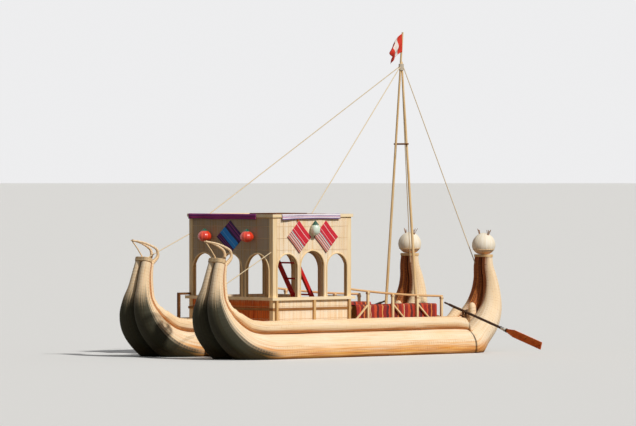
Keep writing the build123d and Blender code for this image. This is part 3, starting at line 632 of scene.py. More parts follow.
# The tail of each hull: a cap of reed rope over the bundles' ends. The gunwale rolls' own ends run up past
# it, bend aft and are tied together at a tip, which a thin rod props.
tip_place, tip_heading, tip_upward, tip_radius, tip_roll, _ = spine[0]
rising = -tip_heading
cap_height = 0.09
horn_tip = Vector((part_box("tail_horns")[0].x + 0.02, 0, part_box("tail_horns")[1].z - 0.02))
# Columns: how far a horn has risen from its root, how far it stands forward of it there, and its radius.
HORN = (
    (0.000, 0.000, 0.042),
    (0.105, 0.075, 0.036),
    (0.190, 0.115, 0.030),
    (0.275, 0.085, 0.026),
    (0.330, 0.000, 0.023),
)
binding_reed = reed_finish("binding_reed", "A8713A", "D9A767", "F0D2A0")


def paint(material, *names):
    """Solids of the frame keep their meshes and take a finish."""
    for name in names:
        nodes[name].data.materials.clear()
        nodes[name].data.materials.append(material)


def stadium_turns(centre, axis, across, half_straight, radius, turns, lift):
    """Points of a rope laid in close turns round two posts side by side, rising along the axis."""
    outward = axis.cross(across)
    points = []
    steps = 28
    for step in range(turns * steps + 1):
        angle = math.tau * step / steps
        straight = math.copysign(half_straight, math.cos(angle)) if abs(math.cos(angle)) >= 0.01 else 0
        middle = centre + axis * (lift * step / steps)
        sideways = across * (straight + radius * math.cos(angle))
        points.append(middle + sideways + outward * radius * math.sin(angle))
    return points


def smooth_path(knots, steps):
    """A smooth curve through the knots, with a number of steps from each knot to the next."""
    path = []
    for index, (here, there) in enumerate(zip(knots, knots[1:])):
        before = knots[max(index - 1, 0)]
        after = knots[min(index + 2, len(knots) - 1)]
        path += bent_line(here, (there - before) / 6, (after - here) / 6, there, steps)[:-1]
    return path + [knots[-1]]


paint(binding_reed, "tail_caps")
cap_turns = []
neck_turns = []
tie_ring = [
    Vector((0.03 + 0.006 * math.cos(step / 3), 0.03 * math.cos(step), 0.022 * math.sin(step)))
    for step in range(20)
]
for hull, sign in hulls:
    middle = tip_place + across_boat * sign * hull_line
    cap_foot = middle + rising * 0.014
    cap_turns.append(stadium_turns(cap_foot, rising, across_boat, tip_radius, tip_radius + 0.002, 4, 0.019))
    for side, side_name in ((-1, "in"), (1, "out")):
        root = middle + across_boat * side * tip_radius + tip_upward * (tip_radius + tip_roll)
        tip = horn_tip + across_boat * (sign * hull_line + side * 0.018)
        knots = [root + rising * rise + tip_upward * stand for rise, stand, _ in HORN]
        knots += [knots[-1].lerp(tip, 0.5) + rising * 0.028, tip]
        radii = [row[2] for row in HORN] + [0.019, 0.014]
        path = smooth_path(knots, 5)
        stations = []
        for step, place in enumerate(path):
            ahead = (path[min(step + 1, len(path) - 1)] - path[max(step - 1, 0)]).normalized()
            upward = ahead.cross(across_boat).normalized()
            knot, share = divmod(step / 5, 1)
            knot = int(knot)
            radius = radii[knot] + (radii[min(knot + 1, len(radii) - 1)] - radii[knot]) * share
            stations.append((place, ahead, upward, radius, step * 0.03))
        name = f"horn_{hull}_{side_name}"
        ribs = {"stems": 14, "groove": 0.05, "lump": 0.05, "seed": 30 + side + sign}
        stem_roll(name, stations, roll_reed, "reed_roll", "tail_horns", **ribs)
        neck_turns.append(winding(stations, 0.05, 0.001, start=0.05, end=0.95))
    tip = horn_tip + across_boat * sign * hull_line
    neck_turns.append([tip + offset for offset in tie_ring])
    foot = middle + rising * cap_height - tip_upward * tip_radius / 2
    bent = foot.lerp(tip, 0.5) + forward * 0.012
    cord_piece(f"horn_prop_{hull}", [[foot, bent, tip]], roll_reed, "reed_roll", radius=0.012, sides=2)
cord_piece("tail_cap_rope", cap_turns, reed_cord, "reed_binding", radius=0.0115, sides=2)
cord_piece("horn_cord", neck_turns, reed_cord, "reed_binding", radius=0.003)


# The heads on the bow posts: round bundles of bleached reed gathered at the neck and the crown on a reed
# collar, banded with rope, with a bunch of twigs for each ear.
post_place, post_heading, post_upward, _, _, _ = spine[-1]
# Columns: height over the collar and radius.
HEAD = (
    (0.000, 0.110), (0.030, 0.152), (0.070, 0.196), (0.120, 0.226), (0.180, 0.237), (0.240, 0.233),
    (0.300, 0.212), (0.350, 0.178), (0.390, 0.135), (0.418, 0.088), (0.434, 0.045), (0.440, 0.012),
)
head_reed = Finish("head_reed")
head_stem, head_tone = head_reed.stems()
_, _, head_height = head_reed.parts(head_stem)
head_streak = head_reed.grain(head_stem, (60, 60, 6), 4)
# Painted shade: the grooves between the head's stems are darker through their tone.
head_stops = ((0.05, "C39A66"), (0.3, "EFE0C4"), (0.55, "FBF4E6"), (0.9, "FFFDF8"))
head_colour = head_reed.ramp(head_tone * 0.3 + head_streak * 0.7, head_stops)
# Painted shade: the lower part of each head is painted orange, for the shade under it.
chin_shade = 1 - head_reed.fade(head_height + (head_streak - 0.5) * 0.16, 0.0, 0.14)
head_colour = head_reed.mix(chin_shade * 0.75, head_colour, "CF8C3E")
head_finish = head_reed.dress(head_colour, 0.7, head_streak * 0.6 + head_tone * 0.4, 0.004, 0.7)
twig_wood = Finish("twig_wood")
twig_streak = twig_wood.grain(twig_wood.place(), (120, 120, 20), 3)
twig_colour = twig_wood.ramp(twig_streak, ((0.2, "6E4526"), (0.8, "C08A54")))
twig_finish = twig_wood.dress(twig_colour, 0.8, twig_streak, 0.001)


def timber_finish(name, dark, mid, pale, axis, rough=0.75):
    """Plain timber with its grain along one axis of the boat."""
    wood = Finish(name)
    place = wood.place()
    fine = [90, 90, 90]
    fine[axis] = 2.5
    broad = [12, 12, 12]
    broad[axis] = 0.8
    streak = wood.grain(place, fine, 5, 0.6)
    board = wood.grain(place, broad, 2)
    colour = wood.ramp(streak * 0.65 + board * 0.45, ((0.22, dark), (0.5, mid), (0.8, pale)))
    return wood.dress(colour, rough, streak, 0.0015, 0.5)


def rounded(piece, levels):
    """Smooths a piece's coarse rings."""
    smooth = piece.modifiers.new("smooth", "SUBSURF")
    smooth.levels = smooth.render_levels = levels


head_seat = 0.05
band_level = 0.095
band_radius = 0.216
ear_spread = 0.11
ear_level = 0.35
band_turns = []
for hull, sign in hulls:
    base = post_place + across_boat * sign * hull_line + post_heading * head_seat
    stations = [(base + post_heading * h, post_heading, post_upward, r, h) for h, r in HEAD]
    name = f"carved_head_{hull}"
    node = f"head_{hull}"
    ribs = {"stems": 52, "groove": 0.02, "lump": 0.1, "seed": 60 + sign}
    rounded(stem_roll(name, stations, head_finish, "head_hide", node, **ribs), 1)
    band = base + post_heading * band_level
    band_turns.append(stadium_turns(band, post_heading, across_boat, 0, band_radius, 1, 0.004))
    draw = random.Random(70 + sign)
    twigs = []
    for ear_side in (-1, 1):
        ear = base + across_boat * ear_side * ear_spread + post_heading * ear_level
        for _ in range(7):
            lean = Vector(
                (draw.uniform(-0.05, 0.05), ear_side * draw.uniform(0.0, 0.07), draw.uniform(0.13, 0.175))
            )
            start = ear + Vector((draw.uniform(-0.014, 0.014), draw.uniform(-0.014, 0.014), 0))
            twigs.append([start, start + lean * 0.5 + forward * draw.uniform(-0.008, 0.008), start + lean])
    cord_piece(f"ear_twigs_{hull}", twigs, twig_finish, "reed_binding", radius=0.0045)
paint(timber_finish("neck_reed", "B07A44", "E4BC84", "F8E0B8", 2, 0.8), "head_collars")
cord_piece("head_rope", band_turns, reed_cord, "reed_binding", radius=0.007, sides=2)


# The deck: squared beams across the hulls, a thick mat of reeds sewn side by side, and a reed bolster at
# each end of it.
beam_timber = timber_finish("beam_timber", "3A2415", "6B4629", "94683F", 1)
paint(beam_timber, "cross_beams")
mat_reed = Finish("mat_reed")
mat_place = mat_reed.place()
mat_x, mat_y, _ = mat_reed.parts(mat_place)
mat_ribs = mat_reed.wave(mat_y * (math.tau / 0.022))
mat_seams = mat_reed.maths("SINE", mat_x * (math.tau / 0.36))
mat_seam = mat_reed.fade(mat_seams, 0.985, 1.0)
mat_streak = mat_reed.grain(mat_place, (2.0, 60, 60), 4)
mat_worn = mat_reed.grain(mat_place, (1.1, 1.6, 1), 3)
mat_colour = mat_reed.ramp(
    mat_streak * 0.5 + mat_ribs * 0.25 + mat_worn * 0.35,
    ((0.2, "8E6536"), (0.45, "C79C62"), (0.7, "E5C995"), (0.95, "F3E1BE")),
)
mat_colour = mat_reed.mix(mat_seam * 0.7, mat_colour, "7C5429")
mat_finish = mat_reed.dress(mat_colour, 0.8, mat_ribs * 0.8 + mat_streak * 0.3 - mat_seam, 0.005, 0.8)
paint(mat_finish, "deck_mat")
bolster_low, bolster_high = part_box("deck_bolsters")
bolster_radius = (bolster_high.z - bolster_low.z) / 2
bolster_cords = []
bolster_ribs = {"stems": 22, "groove": 0.03, "lump": 0.05, "seed": 90}
bolster_z = bolster_low.z + bolster_radius
for end, bolster_x in (("aft", bolster_low.x + bolster_radius), ("fore", bolster_high.x - bolster_radius)):
    places = [bolster_low.y] + [step / 10 for step in range(-11, 12)] + [bolster_high.y]
    stations = [(Vector((bolster_x, y, bolster_z)), across_boat, upright, bolster_radius, y) for y in places]
    stem_roll(f"bolster_{end}", stations, roll_reed, "reed_roll", "deck_bolsters", **bolster_ribs)
    bolster_cords.append(winding(stations, 0.12, 0.001, start=0.01, end=0.99))
cord_piece("bolster_cord", bolster_cords, reed_cord, "reed_binding", radius=0.004)


# The cabin's walls: panels of upright reed stems, sewn to a backing with rows of cord, three round-headed
# openings in each, and every opening edged with a bent roll of thin reeds.
deck_top = deck_high.z
side_low, side_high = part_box("cabin_wall_stbd")
end_low, end_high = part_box("cabin_wall_aft")
cabin_low, cabin_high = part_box("cabin_posts")
cabin_middle = (cabin_low.x + cabin_high.x) / 2
wall_thickness = side_high.y - side_low.y
sill = 0.605
stem_width = 0.0165
stitch_levels = (0.18, 0.42, 1.53, 1.76, 1.99)
wall_reed = Finish("wall_reed")
wall_stem, wall_tone = wall_reed.stems()
wall_x, _, wall_z = wall_reed.parts(wall_reed.place())
wall_streak = wall_reed.grain(wall_stem, (40, 40, 2.2), 4)
wall_patch = wall_reed.grain(wall_reed.place(), (1.6, 1.6, 3.2), 3)
wall_colour = wall_reed.ramp(
    wall_tone * 0.45 + wall_streak * 0.5 + (wall_patch - 0.5) * 0.5,
    ((0.02, "CC9A60"), (0.22, "F6D9AC"), (0.48, "FFEBCE"), (0.9, "FFF6E6")),
)
aft_side = 1 - wall_reed.fade(wall_x, -2.2, -2.17)
# Painted shade: the whole aft wall is mixed towards dark grey-brown, for the shade on that side.
wall_colour = wall_reed.mix(aft_side * 0.55, wall_colour, "5E4A32")
# The aft wall is orange-brown below the sill.
lower_aft_wall = (1 - wall_reed.fade(wall_z + (wall_streak - 0.5) * 0.2, 1.3, 1.42)) * aft_side
lower_boards = wall_reed.ramp(wall_streak, ((0.3, "B8430E"), (0.7, "F88634")))
wall_colour = wall_reed.mix(lower_aft_wall * 0.95, wall_colour, lower_boards)
stain = wall_reed.fade(wall_reed.grain(wall_stem, (14, 14, 0.8), 3), 0.62, 0.82)
wall_colour = wall_reed.mix(stain * 0.22, wall_colour, "C98C4A")
wall_finish = wall_reed.dress(wall_colour, 0.75, wall_streak, 0.002, 0.5)
trim_reed = timber_finish("trim_reed", "C89A60", "F0D2A0", "FCEBCC", 2, 0.8)


def arched_reeds(name, middle, along, outward, length, arches):
    """One wall's stems, cords and arch edgings. Each arch is given as middle, width, foot and crown."""
    draw = random.Random(len(name) * 13)
    bm = bmesh.new()
    tone = bm.verts.layers.float.new("tone")
    stem = bm.verts.layers.float_vector.new("stem")
    height = cabin_high.z - deck_top
    for face, depth in ((1, 0), (-1, -wall_thickness)):
        for index in range(int(length / stem_width)):
            s = -length / 2 + stem_width * (index + 0.5)
            spans = [(0, height)]
            for place, width, foot, crown in arches:
                off = abs(s - place)
                if off < width / 2:
                    top = crown - width / 2 + math.sqrt((width / 2) ** 2 - off**2)
                    spans = [(0, foot), (top, height)]
            for low, high in spans:
                if high - low < 0.02:
                    continue
                radius = stem_width * draw.uniform(0.48, 0.58)
                centre = middle + along * s + outward * (depth - face * 0.003) + upright * ((low + high) / 2)
                round_stem = {"segments": 6, "radius1": radius, "radius2": radius, "depth": high - low}
                onto = seated(centre, (along, outward, upright), (1, 0.9, 1))
                made = bmesh.ops.create_cone(bm, cap_ends=True, matrix=onto, **round_stem)["verts"]
                own = draw.random()
                for vert in made:
                    vert[tone] = own
                    vert[stem] = (s, own * 3, vert.co.z)
    finished(piece_from(bm, f"reeds_{name}"), wall_finish, "wall_mat")
    edges = []
    for depth, (place, width, foot, crown) in itertools.product((0.004, -wall_thickness - 0.004), arches):
        reach = width / 2 + 0.012
        spring = crown - width / 2
        profile = [(-reach, foot), (-reach, (foot + spring) / 2)]
        for step in range(17):
            angle = step * math.pi / 16
            profile.append((-reach * math.cos(angle), spring + reach * math.sin(angle)))
        profile += [(reach, (foot + spring) / 2), (reach, foot)]
        edges.append([middle + along * (place + s) + outward * depth + upright * z for s, z in profile])
    cord_piece(f"edging_{name}", edges, trim_reed, "wall_mat", radius=0.015, sides=2)
    rows = []
    for row in stitch_levels:
        ends = [(-length / 2, length / 2)]
        if arches[1][2] < row < arches[1][3]:
            ends = [(-length / 2, -arches[1][1] / 2), (arches[1][1] / 2, length / 2)]
        for low, high in ends:
            count = max(2, int((high - low) / 0.08))
            points = []
            for step in range(count + 1):
                s = low + (high - low) * step / count
                sag = 0.003 * math.sin(step * 2.1 + row * 9)
                points.append(middle + along * s + outward * 0.0055 + upright * (row + sag))
            rows.append(points)
    cord_piece(f"stitch_{name}", rows, reed_cord, "reed_binding", radius=0.0035)
    paint(wall_back, f"cabin_wall_{name}")


wall_back = timber_finish("wall_back", "8B6136", "C39A63", "DDBE8C", 2)
side_length = side_high.x - side_low.x
end_length = end_high.y - end_low.y
side_arches = ((-0.665, 0.53, sill, 1.445), (0, 0.62, sill, 1.505), (0.665, 0.53, sill, 1.445))
for hull, sign in hulls:
    middle = Vector((cabin_middle, sign * cabin_high.y, deck_top))
    arched_reeds(hull, middle, forward, across_boat * sign, side_length, side_arches)
for end, face_x, outward, middle_foot in (("aft", cabin_low.x, -1, sill), ("fore", cabin_high.x, 1, 0.06)):
    middle = Vector((face_x, 0, deck_top))
    end_arches = ((-0.78, 0.66, sill, 1.45), (0, 0.66, middle_foot, 1.45), (0.78, 0.66, sill, 1.45))
    arched_reeds(end, middle, across_boat, forward * outward, end_length, end_arches)


# The cabin's timbers: round corner posts, the sill ledge and the outside struts that carry it, and the dark
# band nailed round the walls below it.
ledge_wood = timber_finish("ledge_wood", "D2A66C", "F6DCAE", "FFF3DC", 0)
paint(timber_finish("post_wood", "C89A62", "F0D2A0", "FFEFD2", 2), "cabin_posts")
paint(ledge_wood, "sill_ledge")
paint(timber_finish("band_wood", "5E3A1C", "96663A", "B98850", 0), "waist_band")
paint(timber_finish("strut_wood", "8E6236", "D2A468", "F0D0A0", 2), "ledge_struts")


# The roof: a flat slab of reed matting on poles, with a pale rim, and a coaming round the hatch for the
# red-painted ladder that stands inside.
paint(mat_finish, "roof")
paint(ledge_wood, "roof_rim")
paint(beam_timber, "hatch_coaming", "roof_poles")


def chipped_paint(name, stops, fine, broad, chipped, bare, rough, worn=1):
    """Brushed paint with the wood bare where it has chipped. Fine and broad are scales of its grain."""
    paint = Finish(name)
    brushed = paint.grain(paint.place(), *fine)
    chip = paint.fade(paint.grain(paint.place(), broad, 5), *chipped)
    colour = paint.mix(chip * worn, paint.ramp(brushed, stops), bare)
    return paint.dress(colour, rough[0] + chip * rough[1], brushed - chip, 0.001)


red_stops = ((0.2, "B01418"), (0.8, "DE2C2A"))
ladder_grain = ((60, 60, 8), 3)
red_paint = chipped_paint(
    "red_paint", red_stops, ladder_grain, (30, 30, 30), (0.62, 0.66), "6B4327", (0.45, 0.4)
)
paint(red_paint, "ladder")


# The square cloths: six striped woollen squares pinned flat on the cabin's walls over the arches, one corner
# up. Each is a sheet laid by a shape function and striped along one direction of its own map.
def striped_cloth(name, stripes, along_u=False, weave=260, repeats=1, waver_depth=0.012):
    """Woven wool with stripes set as (place, colour) pairs across the cloth, and a fine weave over them."""
    cloth = Finish(name)
    u, v, _ = cloth.parts(cloth.own_map())
    across, run = (u, v) if along_u else (v, u)
    waver = cloth.grain(cloth.own_map(), (9, 9, 1), 2)
    stripe = cloth.maths("FRACT", (across + (waver - 0.5) * waver_depth) * repeats)
    colour = cloth.ramp(stripe, stripes, "CONSTANT")
    weave_pattern = cloth.wave(across * (math.tau * weave)) * cloth.wave(run * (math.tau * weave))
    fuzz = cloth.grain(cloth.place(), (55, 55, 55), 4)
    faded = cloth.grain(cloth.place(), (5, 5, 5), 3)
    colour = cloth.mix(fuzz * 0.05, colour, "FFFFFF")
    colour = cloth.mix(faded * 0.15, colour, "3A1418", "MULTIPLY")
    return cloth.dress(colour, 0.9, weave_pattern + fuzz, 0.0012, 0.5)


def cloth_piece(name, shape, material, slot, node, *, columns, rows, thickness):
    """A sheet of cloth: a flat grid whose points are laid by a shape function of its two shares."""
    bm = bmesh.new()
    bm.loops.layers.uv.new("UVMap")
    bmesh.ops.create_grid(bm, x_segments=columns, y_segments=rows, size=0.5, calc_uvs=True)
    for vert in bm.verts:
        vert.co = shape(vert.co.x + 0.5, vert.co.y + 0.5)
    piece = finished(piece_from(bm, name), material, slot, node)
    wall = piece.modifiers.new("thickness", "SOLIDIFY")
    wall.thickness = thickness
    wall.offset = 0
    return piece


NEAR_STRIPES = (
    (0.0, "6E3B3A"), (0.05, "D98A72"), (0.09, "8A4A40"), (0.13, "F1E2DA"), (0.16, "E4948A"),
    (0.21, "7A5A5C"), (0.25, "F4E6E0"), (0.28, "E88A80"), (0.32, "6E3B3A"), (0.35, "F4E6E0"),
    (0.39, "8D7B86"), (0.43, "D4152F"), (0.52, "F2B4B8"), (0.545, "D8122E"), (0.78, "F9D2D0"),
    (0.805, "DA1834"),
)
AFT_STRIPES = (
    (0.0, "3B1A5C"), (0.07, "8C3A84"), (0.1, "3B1A5C"), (0.16, "7A2F80"), (0.2, "2A1650"),
    (0.25, "2292F2"), (0.38, "5CB4FA"), (0.42, "2292F2"), (0.60, "2A1650"), (0.70, "7A2F80"),
    (0.80, "3B1A5C"), (0.87, "B04A8C"), (0.9, "4A1F66"),
)
diamond_half = 0.325
end_diamond_half = 0.4
diamond_height = 1.78
diamond_pitch = 0.72
diamond_red = striped_cloth("diamond_red", NEAR_STRIPES)
diamond_blue = striped_cloth("diamond_blue", AFT_STRIPES)


def diamond(wall, suffix, middle, rightward, outward, material, seed, half_wide):
    """A cloth pinned to the wall by its corners, one corner up, with its stripes along an upper edge."""
    down_right = rightward * half_wide - upright * diamond_half
    up_right = rightward * half_wide + upright * diamond_half

    def shape(u, v):
        pull = 4 * u * (1 - u) * 4 * v * (1 - v)
        drawn_in = 1 - 0.03 * (1 - abs(2 * u - 1))
        ripple = noise.noise(Vector((u * 3 + seed, v * 3, seed))) * 0.006 * (0.4 + pull)
        return middle + down_right * (u - 0.5) + up_right * (v - 0.5) * drawn_in + outward * (0.0115 + ripple)

    name = f"diamond_{wall}{suffix}"
    weave = {"columns": 26, "rows": 26, "thickness": 0.0025}
    cloth = cloth_piece(name, shape, material, "cloth_diamond", "diamond_cloths", **weave)


for hull, sign in hulls:
    for suffix, shift in (("_aft", -diamond_pitch / 2), ("_fore", diamond_pitch / 2)):
        middle = Vector((cabin_middle + shift, sign * cabin_high.y, deck_top + diamond_height))
        seed = shift + sign
        diamond(hull, suffix, middle, forward * -sign, across_boat * sign, diamond_red, seed, diamond_half)
for end, face_x, outward in (("aft", cabin_low.x, -1), ("fore", cabin_high.x, 1)):
    middle = Vector((face_x, 0, deck_top + diamond_height))
    seed = outward * 3.0
    diamond(end, "", middle, across_boat * outward, forward * outward, diamond_blue, seed, end_diamond_half)


# The tassels: a bunch of orange yarn tied at its top hangs over the aft cloth of each side wall, just clear
# of the wool.
tassel_yarn = rope_finish("tassel_yarn", "B8400C", "F08A2A")
tassel_rise = 0.4
for hull, sign in hulls:
    tassel_x = cabin_middle - diamond_pitch / 2 - 0.05
    top = Vector((tassel_x, sign * (cabin_high.y + 0.022), deck_top + diamond_height + tassel_rise))
    draw = random.Random(120 + sign)
    yarns = []
    for _ in range(16):
        spread = Vector(
            (draw.uniform(-0.022, 0.022), sign * draw.uniform(-0.006, 0.012), -draw.uniform(0.08, 0.1))
        )
        yarns.append([top, top + spread * 0.4 + across_boat * (sign * 0.004), top + spread])
    cord_piece(f"tassel_{hull}", yarns, tassel_yarn, "cloth_red", radius=0.0035)


# The bells: pleated hanging ornaments stuffed round, glossy red on the end walls' outside and pale green
# over the side walls' middle arch, each hung by its crown and capped with a dark leafy calyx.
# Columns: height as a share of the whole, from the crown, and radius as a share of the widest.
BELL = (
    (0.50, 0.06), (0.45, 0.16), (0.36, 0.38), (0.25, 0.68), (0.12, 0.92), (-0.02, 1.04),
    (-0.17, 1.04), (-0.29, 0.92), (-0.39, 0.70), (-0.46, 0.40), (-0.50, 0.10),
)


def bell_finish(name, deep, bright, coat):
    """Thin cloth pulled tight in pleats, with painted shade that darkens its valleys."""
    bell = Finish(name)
    fold = bell.attribute("tone", "Fac")
    speck = bell.grain(bell.place(), (14, 14, 14), 2)
    colour = bell.ramp(fold * 0.8 + speck * 0.3, ((0.05, deep), (0.75, bright)))
    return bell.dress(colour, 0.35 if coat else 0.6, fold, 0.001, 0.3, coat=coat, shine=0.5)


bell_red = bell_finish("bell_red", "CE1A0A", "FF5226", 0.6)
bell_pale = bell_finish("bell_pale", "CBE6CE", "FBFFF6", 0.1)
calyx_dark = bell_finish("calyx_dark", "042218", "0E6A4C", 0.3)


def pleated_bell(kind, hull, middle, radius, height, material, leaf_edge):
    """One bell, and its calyx from the crown down to the leaf edge, a share of its height."""
    stations = []
    calyx = []
    for share, wide in BELL:
        place = middle + upright * (share * height)
        stations.append((place, upright, across_boat, wide * radius, share))
        if share > leaf_edge:
            calyx.append((place + upright * 0.004, upright, across_boat, wide * radius + 0.005, share))
    name = f"{kind}_bell_{hull}"
    pleats = {"stems": 14, "groove": 0.07, "lump": 0.03, "seed": 5 + radius}
    rounded(stem_roll(name, stations, material, f"bell_{kind}", f"{kind}_bells", **pleats), 2)
    leaves = {"stems": 9, "groove": 0.16, "lump": 0.03, "seed": 8 + radius}
    rounded(stem_roll(name + "_calyx", calyx, calyx_dark, "calyx", **leaves), 2)


for hull, sign in hulls:
    for kind, material, leaf_edge in (("red", bell_red, 0.2), ("pale", bell_pale, 0.0)):
        low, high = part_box(f"{kind}_bells")
        radius = (high.x - low.x) / 2
        middle = Vector((low.x + radius, sign * (high.y - radius), (low.z + high.z) / 2))
        pleated_bell(kind, hull, middle, radius, high.z - low.z, material, leaf_edge)


# The blankets thrown over the roof's edge, lilac to starboard and purple aft: they lie on the mat, climb the
# rim and hang outside it.
roof_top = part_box("roof")[1].z
rim_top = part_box("roof_rim")[1].z
PURPLE = (
    (0.0, "5A1560"), (0.06, "C8327E"), (0.12, "6E1C74"), (0.2, "B02A78"), (0.27, "E27AB0"),
    (0.3, "6E1C74"), (0.42, "A4206C"), (0.5, "3A1260"), (0.55, "C8327E"), (0.62, "7A1E7A"),
    (0.72, "E27AB0"), (0.75, "8E2280"), (0.86, "4A1666"), (0.93, "C8327E"),
)
LILAC = (
    (0.0, "F6F0F6"), (0.12, "7E5AA0"), (0.2, "F6F0F6"), (0.3, "C2459A"), (0.36, "F6F0F6"),
    (0.48, "8A6AAE"), (0.6, "F6F0F6"), (0.7, "D86AA8"), (0.76, "F2E8F2"), (0.86, "6E4A92"),
    (0.94, "F6F0F6"),
)
blanket_inner = 0.29
blanket_hang = 0.105


def edge_blanket(end, start, run, outward, length, material, slot, seed):
    """A blanket over the roof's rim: u runs along the edge, and v from its inner hem out and down."""
    flat = blanket_inner + blanket_hang + (rim_top - roof_top)

    def shape(u, v):
        way = v * flat
        wave = math.sin(u * length * 9 + seed) * 0.5 + noise.noise(Vector((u * length * 3, seed, 0)))
        lie = roof_top + 0.006 + abs(noise.noise(Vector((u * length * 4, v * 3, seed)))) * 0.012
        climb = blanket_inner - 0.06
        over = blanket_inner + 0.02
        spot = start + run * (u * length)
        if way < climb:
            return spot - outward * (blanket_inner - way) + upright * (lie - start.z)
        if way < over:
            share = (way - climb) / (over - climb)
            height = lie + (rim_top + 0.006 - lie) * share
            ahead = 0.012 * share - (blanket_inner - climb) * (1 - share)
            return spot + outward * ahead + upright * (height - start.z)
        fall = way - over
        swing = 0.010 + 0.012 * fall / blanket_hang * wave
        drop = fall * (1 + 0.18 * noise.noise(Vector((u * length * 1.7, seed * 2, 1))))
        return spot + outward * (0.008 + max(swing, 0.001)) + upright * (rim_top + 0.004 - drop - start.z)

    wool = {"columns": 90, "rows": 26, "thickness": 0.004}
    cloth = cloth_piece(f"blanket_{end}", shape, material, slot, f"roof_blanket_{end}", **wool)


rim_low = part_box("roof_rim")[0]
low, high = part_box("roof_blanket_stbd")
lilac_wool = striped_cloth("lilac_wool", LILAC, repeats=2.6, waver_depth=0.03)
corner = Vector((low.x, rim_low.y, rim_top))
edge_blanket("stbd", corner, forward, -across_boat, high.x - low.x, lilac_wool, "cloth_lilac", 1.3)
low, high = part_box("roof_blanket_aft")
purple_wool = striped_cloth("purple_wool", PURPLE, repeats=2.2, waver_depth=0.03)
corner = Vector((rim_low.x, low.y, rim_top))
edge_blanket("aft", corner, across_boat, -forward, high.y - low.y, purple_wool, "cloth_purple", 4.1)


# The benches on the fore deck: plank seats on legs, under heavy red and orange blankets that hang to both
# sides in folds.
RED = (
    (0.0, "A01C10"), (0.09, "D8481A"), (0.13, "7A160E"), (0.22, "E8843A"), (0.25, "8E1A10"),
    (0.34, "C23414"), (0.41, "F0C890"), (0.43, "9A1C10"), (0.53, "D04C1C"), (0.6, "5E1210"),
    (0.66, "B8300F"), (0.76, "F0A45A"), (0.79, "A01C10"), (0.89, "5A1A22"), (0.95, "D8481A"),
)
bench_wool = striped_cloth("bench_wool", RED, weave=420, repeats=2.4, waver_depth=0.03)
bench_wood = timber_finish("bench_wood", "5A3A22", "8E6238", "B98A58", 0)
for hull, sign in hulls:
    paint(bench_wood, f"bench_{hull}")
    low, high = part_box(f"bench_{hull}")
    bench_wide = high.y - low.y
    bench_hang = high.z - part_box(f"bench_blanket_{hull}")[0].z
    flat = 2 * bench_hang + bench_wide

    def over_bench(u, v):
        """u runs across the bench and down both sides, and v along it."""
        way = (u - 0.5) * flat
        side = 1 if way > 0 else -1
        reach = abs(way)
        x = low.x + v * (high.x - low.x)
        bulge = noise.noise(Vector((x * 2.6, side * 3.0, sign * 2.0)))
        fold = math.sin(x * 21 + 2.2 * bulge) * 0.6 + noise.noise(Vector((x * 9, side, sign)))
        if reach < bench_wide / 2 - 0.01:
            lump = noise.noise(Vector((x * 4, way * 6, sign))) * 0.012 + 0.012
            return Vector((x, (low.y + high.y) / 2 + way, high.z + 0.004 + max(lump, 0)))
        fall = (reach - bench_wide / 2 + 0.01) * (1 + 0.07 * bulge)
        drop = fall / bench_hang
        corner = min(1, fall / 0.03)
        out = bench_wide / 2 - 0.01 + 0.014 * corner + max(0.0, 0.010 * fold + 0.003) * min(drop * 2, 1)
        return Vector((x, (low.y + high.y) / 2 + side * out, high.z + 0.01 - fall + 0.004 * (1 - corner)))

    name = f"bench_blanket_over_{hull}"
    node = f"bench_blanket_{hull}"
    wool = {"columns": 60, "rows": 150, "thickness": 0.004}
    blanket = cloth_piece(name, over_bench, bench_wool, "cloth_red", node, **wool)


# The railings: a peeled pole that sags on squared posts, with a slanting brace to each post and every joint
# lashed with cord. The one across the stern takes a dark brown finish.
rail_wood = timber_finish("rail_wood", "B4784A", "E0B07C", "F2D6A8", 0)
rail_post_wood = timber_finish("rail_post_wood", "C0925C", "EBCB98", "FAE6C2", 2)
paint(timber_finish("aft_rail_wood", "3A2214", "6A4426", "96683C", 2), "railing_aft")
rail_post = 0.05
rail_bar = 0.044
rail_pitch = 0.68
rail_rise_aft = 0.76
rail_rise_fore = 0.58
rail_sag = 0.03
brace_rise = 0.42
brace_run = 0.46
joint_turns = []
lash_corners = ((-1, -1), (1, -1), (1, 1), (-1, 1), (-1, -1))


def squared_bar(bm, start, end, wide, deep):
    """One squared timber from start to end, level across the boat."""
    along = (end - start).normalized()
    axes = (along, across_boat, along.cross(across_boat))
    onto = seated((start + end) / 2, axes, ((end - start).length, wide, deep))
    bmesh.ops.create_cube(bm, size=1, matrix=onto)


